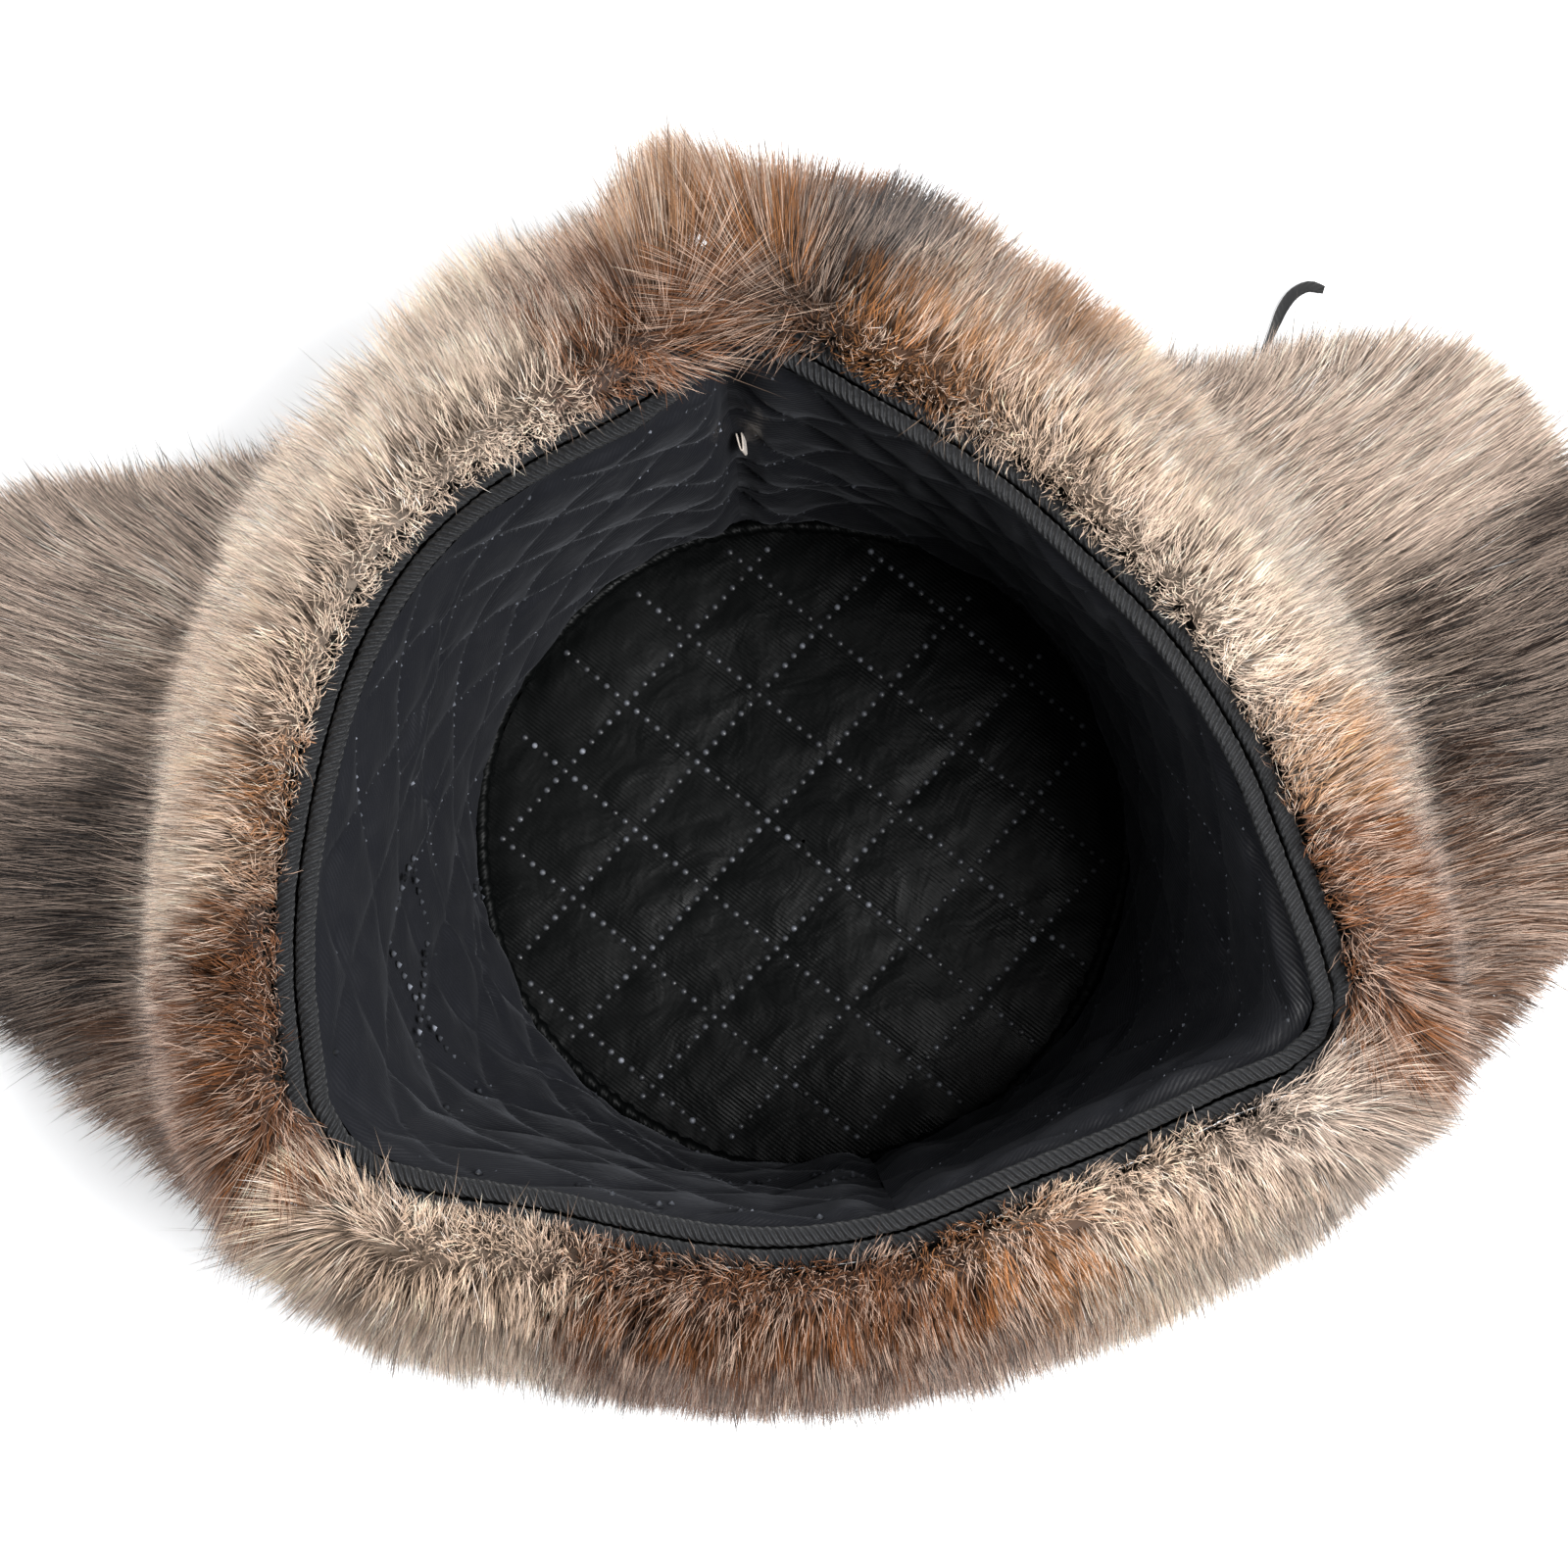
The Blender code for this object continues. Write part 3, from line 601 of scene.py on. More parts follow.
def studio_floor():
    """Matt white studio floor, lit a little from below as for a packshot."""
    material, tree, shader = new_material("studio_floor")
    set_shader(shader, colours().floor, 0.9, specular=0.1)
    shader.inputs["Emission Color"].default_value = (1.0, 1.0, 1.0, 1.0)
    shader.inputs["Emission Strength"].default_value = 0.22
    place = add_node(tree, "ShaderNodeTexCoord").outputs["Object"]
    grain = add_node(tree, "ShaderNodeTexNoise", {"Scale": 900.0, "Detail": 2.0}, {"Vector": place})
    bump = add_node(
        tree, "ShaderNodeBump", {"Strength": 0.05, "Distance": 0.0001}, {"Height": grain.outputs["Fac"]}
    )
    tree.links.new(bump.outputs["Normal"], shader.inputs["Normal"])
    return material


def material_once(make, *args):
    name = args[0] if args else make.__name__
    return bpy.data.materials.get(name) or make(*args)


# The lace


def smooth_line(points, spacing):
    """Points at an even spacing on a smooth curve through the given ones."""
    points = np.asarray(points, float)
    steps = np.linalg.norm(np.diff(points, axis=0), axis=1)
    along = np.concatenate([[0.0], np.cumsum(steps)])
    slopes = np.gradient(points, along, axis=0)
    at = np.linspace(0.0, along[-1], max(2, round(along[-1] / spacing)))
    row = np.clip(np.searchsorted(along, at, side="right") - 1, 0, len(along) - 2)
    step = (along[row + 1] - along[row])[:, None]
    t = ((at - along[row])[:, None]) / step
    return (
        points[row] * (1 + 2 * t) * (1 - t) ** 2
        + slopes[row] * step * t * (1 - t) ** 2
        + points[row + 1] * t * t * (3 - 2 * t)
        - slopes[row + 1] * step * t * t * (1 - t)
    )


def lace_piece():
    """The flat lace: upright where it hangs and over its bend, lying flatter towards its free end."""
    line = smooth_line(LACE_ROUTE, 0.0012)
    count = len(line)
    ahead = unit(np.gradient(line, axis=0))
    share = np.linspace(0.0, 1.0, count)
    up = np.array([0.0, 0.0, 1.0])
    level = unit(np.cross(ahead, up) + 1e-9)
    rise = unit(np.cross(level, ahead))
    turn = np.radians(8.0 + 62.0 * (1 - smoothstep((share - 0.80) / 0.14)))[:, None]
    wide = level * np.cos(turn) + rise * np.sin(turn)
    thick = unit(np.cross(ahead, wide))
    sides = 12
    angle = np.linspace(0.0, 2 * math.pi, sides, endpoint=False)
    half_width = 0.5 * sizes().lace_width
    half_thickness = 0.5 * sizes().lace_thickness
    x = half_width * np.sign(np.cos(angle)) * np.abs(np.cos(angle)) ** 0.6
    y = half_thickness * np.sign(np.sin(angle)) * np.abs(np.sin(angle)) ** 0.8
    taper = np.ones(count)
    taper[-2:] = (0.9, 0.75)
    ring = wide[:, None] * x[None, :, None] + thick[:, None] * y[None, :, None]
    points = line[:, None] + ring * taper[:, None, None]
    long = np.linalg.norm(np.diff(line, axis=0), axis=1).sum()
    uv = np.stack(np.broadcast_arrays(share[:, None] * long, x[None, :]), -1)
    quads = grid_corners(count, sides, close_columns=True)[:, ::-1]
    last = (count - 1) * sides
    corners = np.concatenate([quads.ravel(), np.arange(sides), last + np.arange(sides)[::-1]])
    counts = np.concatenate([np.full(len(quads), 4), [sides, sides]])
    mesh = mesh_of("tie_lace_braid", points.reshape(-1, 3), corners, counts)
    add_uv(mesh, "cloth", uv.reshape(-1, 2)[corners])
    lace = add_piece("tie_lace_braid", mesh, material_once(braided_cotton))
    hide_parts("tie_lace")
    return lace


# The crown's leather


class Wall:
    """A wall of the crown, as its distance from the axis at any bearing and height."""

    def __init__(self, *nodes):
        points, faces = node_surface(*nodes)
        tree = tree_of(points, faces)
        low, high = points[:, 2].min() + 0.0008, points[:, 2].max() - 0.0008
        self.heights = np.linspace(low, high, 9)
        self.bearings = np.arange(-180.0, 180.0, 3.0)
        self.reach = np.zeros((len(self.heights), len(self.bearings)))
        for i, height in enumerate(self.heights):
            found = []
            for bearing in self.bearings:
                angle = math.radians(bearing)
                way = Vector((math.cos(angle), math.sin(angle), 0.0))
                hit = tree.ray_cast(Vector((0.0, 0.0, height)), way)[0]
                found.append(math.nan if hit is None else hit.to_2d().length)
            found = np.array(found)
            known = ~np.isnan(found)
            self.reach[i] = np.interp(self.bearings, self.bearings[known], found[known], period=360.0)

    def at(self, bearing, height):
        """Points of the wall for bearings in degrees and heights, arrays of one shape."""
        column = (np.asarray(bearing) + 180.0) % 360.0 / 3.0
        j = np.floor(column).astype(int) % len(self.bearings)
        j_next = (j + 1) % len(self.bearings)
        t = column - np.floor(column)
        row = np.interp(height, self.heights, np.arange(len(self.heights)))
        i = np.clip(np.floor(row).astype(int), 0, len(self.heights) - 2)
        s = row - i
        near = self.reach[i, j] * (1 - t) + self.reach[i, j_next] * t
        far = self.reach[i + 1, j] * (1 - t) + self.reach[i + 1, j_next] * t
        reach = near * (1 - s) + far * s
        angle = np.radians(bearing)
        return np.stack([reach * np.cos(angle), reach * np.sin(angle), height + 0.0 * reach], -1)

    def inward(self, bearing, height):
        """Unit directions square to the wall, towards the head."""
        along = self.at(bearing + 1.5, height) - self.at(bearing - 1.5, height)
        up = self.at(bearing, height + 0.004) - self.at(bearing, height - 0.004)
        return unit(np.cross(up, along))


def capsules(name, starts, ends, radius, material, sides=6):
    """Short stitches, each a small six-sided rod with drawn-in ends."""
    starts, ends = np.asarray(starts), np.asarray(ends)
    ahead = unit(ends - starts)
    side = unit(np.cross(ahead, np.array([0.3, 0.2, 0.93])))
    other = np.cross(ahead, side)
    angle = np.linspace(0.0, 2 * math.pi, sides, endpoint=False)
    ring = side[:, None] * np.cos(angle)[None, :, None] + other[:, None] * np.sin(angle)[None, :, None]
    shares = (0.0, 0.2, 0.8, 1.0)
    widths = (0.35, 1.0, 1.0, 0.35)
    rows = []
    for share, width in zip(shares, widths):
        middle = starts + (ends - starts) * share
        rows.append(middle[:, None] + ring * radius * width)
    points = np.stack(rows, 1)
    quads = grid_corners(len(shares), sides, close_columns=True)
    caps = np.array([np.arange(sides)[::-1], 3 * sides + np.arange(sides)])
    step = (np.arange(len(starts)) * len(shares) * sides)[:, None]
    corners = np.concatenate([(quads.ravel() + step).ravel(), (caps.ravel() + step).ravel()])
    counts = np.concatenate([np.full(len(quads) * len(starts), 4), np.full(2 * len(starts), sides)])
    mesh = mesh_of(name, points.reshape(-1, 3), corners, counts)
    return add_piece(name, mesh, material)


def crown_stitches():
    """Lock stitches beside the crown's front and back seams, and round its top panel."""
    shell = Wall("crown_wall_left", "crown_wall_right")
    leather = 2.0 * MM
    pitch, long, aside = 3.4 * MM, 2.5 * MM, 2.6 * MM
    starts, ends = [], []
    heights = np.arange(0.014, 0.132, pitch)
    for seam in (FRONT_SEAM, BACK_SEAM):
        for side in (-1, 1):
            offset = side * math.degrees(aside / 0.088)
            bearing = np.full(len(heights), seam + offset)
            away = -shell.inward(bearing, heights)
            low = shell.at(bearing, heights) + away * (leather + 0.0002)
            high = shell.at(bearing, heights + long) + away * (leather + 0.0002)
            starts.append(low)
            ends.append(high)
    around = np.arange(0.0, 360.0, math.degrees(pitch / 0.0803))
    height = np.full(len(around), 0.0125)
    span = math.degrees(long / 0.0803)
    away = -shell.inward(around, height)
    starts.append(shell.at(around, height) + away * (leather + 0.0002))
    ends.append(shell.at(around + span, height) + away * (leather + 0.0002))
    thread = material_once(braided_cotton_thread)
    stitches = capsules("crown_stitches", np.concatenate(starts), np.concatenate(ends), 0.00035, thread)
    return stitches


def braided_cotton_thread():
    """Braided cotton sewing thread: black, with a low gloss and a fine twist."""
    material, tree, shader = new_material("braided_cotton_thread")
    set_shader(shader, colours().lace, 0.45, specular=0.5)
    place = add_node(tree, "ShaderNodeTexCoord").outputs["Object"]
    twist = add_node(tree, "ShaderNodeTexNoise", {"Scale": 2500.0}, {"Vector": place})
    bump = add_node(
        tree, "ShaderNodeBump", {"Strength": 0.4, "Distance": 0.0002}, {"Height": twist.outputs["Fac"]}
    )
    tree.links.new(bump.outputs["Normal"], shader.inputs["Normal"])
    return material


def crown_seams():
    """The leather turned in at the crown's front and back seams, which closes each from inside."""
    shell = Wall("crown_wall_left", "crown_wall_right")
    height = np.linspace(0.0075, 0.138, 40)[:, None]
    for name, seam in (("front", FRONT_SEAM), ("back", BACK_SEAM)):
        offset = np.linspace(-1.6, 1.6, 9)[None, :]
        bearing, level = np.broadcast_arrays(seam + offset, height)
        away = -shell.inward(bearing, level)
        dip = 0.0010 + 0.0006 * np.cos(offset / 1.6 * math.pi)
        points = shell.at(bearing, level) + away * (dip + 0.0 * level)[..., None]
        mesh = grid_mesh(f"crown_seam_{name}", points)
        strip = add_piece(f"crown_seam_{name}", mesh, material_once(grain_leather))


def leather_pieces():
    leather = material_once(grain_leather)
    names = ["crown_tip", "crown_wall_left", "crown_wall_right"]
    names += ["ear_flap_left_shell", "ear_flap_right_shell", "front_flap_shell"]
    for name in names:
        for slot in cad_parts[name].material_slots:
            slot.material = leather
    crown_seams()
    crown_stitches()


# The quilted lining


def wall_taffeta():
    return material_once(quilted_taffeta, "quilted_taffeta", colours().taffeta, 0.50)


def tip_taffeta():
    """The round end is painted a deeper black than the sides, as painted shade: it lies in the hat's
    own shade.
    """
    return material_once(quilted_taffeta, "quilted_taffeta_end", colours().taffeta_end, 0.07)


class Quilting:
    """Diamonds of the quilting: lines where either of two slanted coordinates is whole."""

    def __init__(self, first_way, second_way, crossing=(0.0, 0.0)):
        side = sizes().quilt_side
        first, second = math.radians(first_way), math.radians(second_way)
        ways = np.array([[math.cos(first), math.sin(first)], [math.cos(second), math.sin(second)]])
        self.to_plane = ways * side
        self.to_grid = np.linalg.inv(self.to_plane)
        self.crossing = np.asarray(crossing, float)

    def grid(self, places):
        return (places - self.crossing) @ self.to_grid

    def puff(self, places):
        """From 0 on the lines to 1 in the middle of a diamond."""
        grid = self.grid(places)
        a, b = np.abs(np.sin(math.pi * grid[..., 0])), np.abs(np.sin(math.pi * grid[..., 1]))
        return np.minimum(a, b) ** 0.45

    def welds(self, low, high):
        """Places of the weld dots in the box between two corners of the cloth."""
        corners = np.array([(x, y) for x in (low[0], high[0]) for y in (low[1], high[1])])
        reach = self.grid(corners)
        first, last = np.floor(reach.min(axis=0)).astype(int), np.ceil(reach.max(axis=0)).astype(int)
        per_side = sizes().welds_per_side
        rows = []
        for k in range(first[0], last[0] + 1):
            steps = np.arange(first[1] * per_side, last[1] * per_side + 1) / per_side
            rows.append(np.column_stack([np.full(len(steps), k), steps]))
        for k in range(first[1], last[1] + 1):
            steps = np.arange(first[0] * per_side, last[0] * per_side + 1)
            steps = steps[steps % per_side != 0] / per_side
            rows.append(np.column_stack([steps, np.full(len(steps), k)]))
        places = np.concatenate(rows) @ self.to_plane + self.crossing
        inside = np.all((places > low) & (places < high), axis=1)
        return places[inside]


class LiningTip:
    """The lining's round end: a flat puffed disc inside its seam."""

    RADIUS = 0.0722

    def __init__(self):
        self.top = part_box("lining_tip")[1][2]
        self.quilting = Quilting(-47.5, 40.5, (0.0066, -0.0096))
        self.rng = np.random.default_rng(11)
        self.waves = [self.rng.uniform(0, 6.28, 3) for _ in range(3)]

    def height(self, places):
        reach = np.linalg.norm(places, axis=-1)
        rng = np.random.default_rng(12)
        soft = wave_field(places, rng, 7, 0.055) * 0.0004
        fine = wave_field(places, rng, 14, 0.011) * 0.00008
        edge = smoothstep((self.RADIUS - reach) / 0.006)
        gather = np.sin(np.arctan2(places[..., 1], places[..., 0]) * 74.0) * 0.00025 * (1 - edge)
        puff = 0.5 * sizes().quilt_puff * self.quilting.puff(places) * edge
        return self.top - 0.0009 + puff + soft * edge + fine + gather

    def at(self, places):
        return np.concatenate([places, self.height(places)[..., None]], -1)

    def facing(self, places):
        step = 0.0005
        dx = (self.height(places + (step, 0)) - self.height(places - (step, 0))) / (2 * step)
        dy = (self.height(places + (0, step)) - self.height(places - (0, step))) / (2 * step)
        return unit(np.stack([-dx, -dy, np.ones_like(dx)], -1))


# Creases of the lining's sides: bearing in degrees, height and length in mm, slant from level in
# degrees, and depth in mm.
Crease = namedtuple("Crease", "bearing height length slant depth")
CREASES = (
    Crease(146, 112, 22, -35, 1.5),
    Crease(160, 96, 26, 12, 2.0),
    Crease(166, 84, 20, -20, 1.6),
    Crease(172, 66, 24, 30, 1.3),
    Crease(186, 52, 30, -38, 1.2),
    Crease(196, 34, 26, 20, 1.4),
    Crease(178, 30, 22, -14, 1.0),
    Crease(132, 58, 24, 40, 1.1),
    Crease(112, 98, 20, -50, 1.0),
    Crease(76, 60, 26, 35, 1.2),
    Crease(60, 84, 22, -30, 1.0),
    Crease(38, 50, 30, 50, 1.1),
    Crease(14, 74, 26, -40, 1.2),
    Crease(-8, 40, 24, 30, 1.3),
    Crease(-30, 62, 26, -55, 1.2),
    Crease(-62, 70, 30, 15, 1.3),
    Crease(-110, 84, 34, -10, 1.4),
    Crease(-128, 46, 26, 35, 1.3),
    Crease(-142, 30, 22, -25, 1.2),
)


def crease_rise(crease, bearing, height):
    """A sharp groove with a soft ridge beside it."""
    along = (bearing - crease.bearing + 180.0) % 360.0 - 180.0
    x = np.radians(along) * 85.0
    y = height * 1000.0 - crease.height
    slant = math.radians(crease.slant)
    run = (x * math.cos(slant) + y * math.sin(slant)) / (0.5 * crease.length)
    cross = -x * math.sin(slant) + y * math.cos(slant) + 1.6 * np.sin(run * 2.2)
    fade = np.exp(-(np.abs(run) ** 2.6))
    groove = -np.exp(-((cross / 1.1) ** 2))
    ridge = 0.75 * np.exp(-(((cross - 2.8) / 1.9) ** 2)) + 0.4 * np.exp(-(((cross + 3.2) / 2.4) ** 2))
    return crease.depth * 0.001 * fade * (groove + ridge)


class LiningWall:
    """The lining's side in two halves, drawn in at the seams and puffed between the welds."""

    def __init__(self):
        self.wall = Wall("lining_wall_left", "lining_wall_right")
        self.low = 0.0085
        self.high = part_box("lining_wall_left")[1][2] - 0.0006
        self.middle_reach = 0.083
        self.quilting = Quilting(45.0, -45.0, (0.004, 0.010))

    def cloth(self, bearing, height):
        """Where a point of the wall lies on the flat cloth."""
        return np.stack([np.radians(bearing) * self.middle_reach, height - self.low], -1)

    def wall_place(self, cloth):
        bearing = np.degrees(cloth[..., 0] / self.middle_reach)
        return bearing, cloth[..., 1] + self.low

    def rise(self, bearing, height):
        """How far the cloth stands in from the wall."""
        cloth = self.cloth(bearing, height)
        rng = np.random.default_rng(21)
        level = (height - self.low) / (self.high - self.low)
        held = smoothstep(level / 0.06) * smoothstep((1 - level) / 0.05)
        soft = wave_field(cloth, rng, 9, 0.060) * 0.0011
        fine = wave_field(cloth, rng, 18, 0.013) * 0.00012
        puff = 1.7 * sizes().quilt_puff * self.quilting.puff(cloth)
        total = held * (puff + soft) + fine
        for crease in CREASES:
            total += held * crease_rise(crease, bearing, height)
        for seam, depth in ((BACK_SEAM, 0.0032), (FRONT_SEAM, 0.0016)):
            away = np.abs((bearing - seam + 180.0) % 360.0 - 180.0) * math.radians(1) * 0.08
            total -= depth * np.exp(-((away / 0.0035) ** 2)) * (0.4 + 0.6 * held)
            total += 0.5 * depth * np.exp(-(((away - 0.009) / 0.006) ** 2)) * held
        return total

    def at(self, bearing, height):
        inward = self.wall.inward(bearing, height)
        return self.wall.at(bearing, height) + inward * self.rise(bearing, height)[..., None]


def weld_dots(name, middles, facing, material, painted_highlight_gain):
    """Low round domes of melted film, their rims painted dark as painted shade where they sink into the
    cloth.
    """
    sides = 8
    radius = 0.5 * sizes().weld_width
    side = unit(np.cross(facing, np.array([0.21, 0.33, 0.92])))
    other = np.cross(facing, side)
    angle = np.linspace(0.0, 2 * math.pi, sides, endpoint=False)
    ring = side[:, None] * np.cos(angle)[None, :, None] + other[:, None] * np.sin(angle)[None, :, None]
    lip = (middles + facing * 0.0001)[:, None] + ring * radius
    centre = (middles + facing * 0.0009)[:, None]
    points = np.concatenate([lip, centre], 1)
    fan = np.stack([np.arange(sides), (np.arange(sides) + 1) % sides, np.full(sides, sides)], -1)
    step = (np.arange(len(middles)) * (sides + 1))[:, None]
    corners = (fan.ravel()[None] + step).ravel()
    counts = np.full(sides * len(middles), 3)
    mesh = mesh_of(name, points.reshape(-1, 3), corners, counts)
    film = np.array(colours().weld)
    # The rim is painted at 2% of the film's colour, painted shade where the dome sinks into the cloth;
    # painted_highlight_gain then scales each dot.
    one = np.concatenate([np.tile(0.02 * film, (sides, 1)), film[None]])
    gain = painted_highlight_gain * np.exp(np.random.default_rng(61).normal(-0.1, 0.6, (len(middles), 1, 1)))
    shades = np.concatenate([one[None] * gain, np.ones((len(middles), sides + 1, 1))], 2)
    mesh.attributes.new("film", "FLOAT_COLOR", "POINT").data.foreach_set("color", shades.ravel())
    dots = add_piece(name, mesh, material)
    return dots


def lining_tip_piece():
    tip = LiningTip()
    rings = np.concatenate([[0.0004], np.linspace(0.0016, tip.RADIUS, 46)])
    angle = np.linspace(0.0, 2 * math.pi, 192, endpoint=False)
    flat = rings[:, None, None] * np.stack([np.cos(angle), np.sin(angle)], -1)[None]
    points = tip.at(flat)
    mesh = grid_mesh("lining_tip_quilt", points, close_columns=True, uv=flat)
    # The round end takes the darker taffeta, painted shade.
    piece = add_piece("lining_tip_quilt", mesh, tip_taffeta())
    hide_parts("lining_tip")
    places = tip.quilting.welds((-0.072, -0.072), (0.072, 0.072))
    places = places[np.linalg.norm(places, axis=1) < tip.RADIUS - 0.003]
    weld_dots("lining_tip_welds", tip.at(places), tip.facing(places), material_once(melted_film), 1.0)
    return piece


def lining_wall_piece():
    wall = LiningWall()
    for side, start, end in (("left", BACK_SEAM, FRONT_SEAM + 360.0), ("right", FRONT_SEAM, BACK_SEAM)):
        inset = 0.0
        bearing = np.linspace(start + inset, end - inset, 190)[None, :]
        height = np.linspace(wall.low, wall.high, 88)[:, None]
        bearing, height = np.broadcast_arrays(bearing, height)
        points = wall.at(bearing, height)
        name = f"lining_wall_{side}_quilt"
        mesh = grid_mesh(name, points, flip=True, uv=wall.cloth(bearing, height))
        piece = add_piece(name, mesh, wall_taffeta())
        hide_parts(f"lining_wall_{side}")
    turn = math.radians(180.0) * wall.middle_reach
    cloth = wall.quilting.welds((-turn, 0.004), (turn, wall.high - wall.low - 0.004))
    bearing, height = wall.wall_place(cloth)
    for seam in (BACK_SEAM, FRONT_SEAM):
        away = np.abs((bearing - seam + 180.0) % 360.0 - 180.0)
        bearing, height = bearing[away > 2.0], height[away > 2.0]
    step_up = wall.at(bearing, height + 0.0006) - wall.at(bearing, height - 0.0006)
    step_along = wall.at(bearing + 0.4, height) - wall.at(bearing - 0.4, height)
    facing = unit(np.cross(step_up, step_along))
    # The walls' dots are painted 2.4 times lighter than the round end's, a painted highlight for the
    # glints they catch.
    weld_dots("lining_wall_welds", wall.at(bearing, height), facing, material_once(melted_film), 2.4)


def lining_seam_piece():
    """The gathered welt where the lining's side meets its round end."""
    count, sides = 420, 10
    angle = np.linspace(0.0, 2 * math.pi, count, endpoint=False)
    around = np.linspace(0.0, 2 * math.pi, sides, endpoint=False)
    rng = np.random.default_rng(31)
    bumpy = 0.00030 * np.sin(angle * 118) + 0.00018 * rng.normal(size=count)
    drift = 0.0006 * np.sin(angle * 3 + 0.4) + 0.0004 * np.sin(angle * 7 + 2.0)
    radius = 0.0016 + bumpy
    reach = 0.0728 + drift
    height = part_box("lining_tip")[1][2] + 0.0006
    ring_reach = reach[:, None] + radius[:, None] * np.cos(around)[None]
    ring_height = height + radius[:, None] * np.sin(around)[None]
    points = np.stack(
        [ring_reach * np.cos(angle)[:, None], ring_reach * np.sin(angle)[:, None], ring_height], -1
    )
    uv = np.stack(np.broadcast_arrays(angle[:, None] * 0.073, around[None, :] * 0.0012), -1)
    mesh = grid_mesh("lining_seam", points, close_rows=True, close_columns=True, flip=True, uv=uv)
    # The welt takes the round end's darker taffeta, painted shade along the seam's crease.
    piece = add_piece("lining_seam", mesh, tip_taffeta())
    return piece


# The ribbed tapes


def tape_line(node):
    """A CAD tape's middle line as points round the rim, and whether it closes."""
    points, faces = node_surface(node)
    tree = tree_of(points, faces)
    height = 0.5 * (points[:, 2].min() + points[:, 2].max())
    half = 0.5 * (points[:, 2].max() - points[:, 2].min())
    bearings, reach = [], []
    for bearing in np.arange(-180.0, 180.0, 0.5):
        angle = math.radians(bearing)
        way = Vector((math.cos(angle), math.sin(angle), 0.0))
        hit = tree.ray_cast(Vector((0.0, 0.0, height)), way)[0]
        if hit is not None:
            bearings.append(bearing)
            reach.append(hit.to_2d().length + half)
    bearings, reach = np.array(bearings), np.array(reach)
    breaks = np.where(np.diff(bearings) > 1.0)[0]
    closed = len(breaks) == 0 and len(bearings) > 700
    if len(breaks):
        start = breaks[0] + 1
        bearings = np.concatenate([bearings[start:], bearings[:start] + 360.0])
        reach = np.concatenate([reach[start:], reach[:start]])
    angle = np.radians(bearings)
    line = np.stack([reach * np.cos(angle), reach * np.sin(angle), np.full(len(angle), height)], -1)
    return line, closed


def evenly(line, spacing, closed):
    if closed:
        line = np.concatenate([line, line[:1]])
    steps = np.linalg.norm(np.diff(line, axis=0), axis=1)
    along = np.concatenate([[0.0], np.cumsum(steps)])
    count = max(8, round(along[-1] / spacing))
    at = np.linspace(0.0, along[-1], count, endpoint=not closed)
    return np.column_stack([np.interp(at, along, line[:, k]) for k in range(3)]), at


def tape_piece(node):
    """A folded ribbed tape, a rounded roll with a rib every millimetre or so."""
    line, closed = tape_line(node)
    line, at = evenly(line, 0.0010, closed)
    if closed:
        ahead = unit(np.roll(line, -1, axis=0) - np.roll(line, 1, axis=0))
    else:
        ahead = unit(np.gradient(line, axis=0))
    outward = np.stack([ahead[:, 1], -ahead[:, 0], np.zeros(len(line))], -1)
    up = np.array([0.0, 0.0, 1.0])
    sides = 12
    angle = np.linspace(0.0, 2 * math.pi, sides, endpoint=False)
    wide = 0.5 * sizes().tape_width * np.sign(np.cos(angle)) * np.abs(np.cos(angle)) ** 0.75
    tall = 0.5 * sizes().tape_rise * np.sign(np.sin(angle)) * np.abs(np.sin(angle)) ** 0.75
    rng = np.random.default_rng(41)
    rib = 1.0 + 0.045 * np.sign(np.sin(at * 2 * math.pi / 0.0022)) + 0.02 * rng.normal(size=len(at))
    sway = 0.0003 * np.sin(at * 2 * math.pi / 0.061) + 0.0002 * np.sin(at * 2 * math.pi / 0.023)
    ring = outward[:, None] * wide[None, :, None] + up[None, None] * tall[None, :, None]
    points = line[:, None] + ring * rib[:, None, None] + sway[:, None, None] * up
    uv = np.stack(np.broadcast_arrays(at[:, None], angle[None, :] * 0.0012), -1)
    mesh = grid_mesh(
        f"{node}_ribbed", points, close_rows=closed, close_columns=True, flip=True, uv=uv
    )
    piece = add_piece(f"{node}_ribbed", mesh, material_once(ribbed_tape))
    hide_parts(node)
    return piece


# The woven tag


def tag_piece():
    """A folded ribbon sewn into the back seam by its cut ends, blank on both sides."""
    low, high = (np.array(corner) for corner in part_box("woven_tag"))
    angle = math.radians(BACK_SEAM)
    outward = np.array([math.cos(angle), math.sin(angle), 0.0])
    aside = np.array([-outward[1], outward[0], 0.0])
    middle = 0.5 * (low + high)
    tall = high[2] - low[2]
    reach = 0.5 * (high[1] - low[1])
    turns = np.linspace(-1.0, 1.0, 21)
    away = reach * (1.0 - 2.0 * np.abs(turns) ** 1.6)
    spread = 0.00055 * np.sign(turns) * np.abs(turns) ** 0.5
    levels = np.linspace(-0.5, 0.5, 9) * (tall - 0.0006)
    rows = []
    for level in levels:
        sway = 0.0004 * math.sin(level * 400)
        row = middle + np.outer(-away, outward) + np.outer(spread + sway, aside)
        row[:, 2] = middle[2] + level
        rows.append(row)
    mesh = grid_mesh("woven_tag_ribbon", np.array(rows))
    piece = add_piece("woven_tag_ribbon", mesh, material_once(damask_ribbon))
    thick = piece.modifiers.new("ribbon", "SOLIDIFY")
    thick.thickness = 0.00025
    thick.offset = 0.0
    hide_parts("woven_tag")
    return piece


# The fur


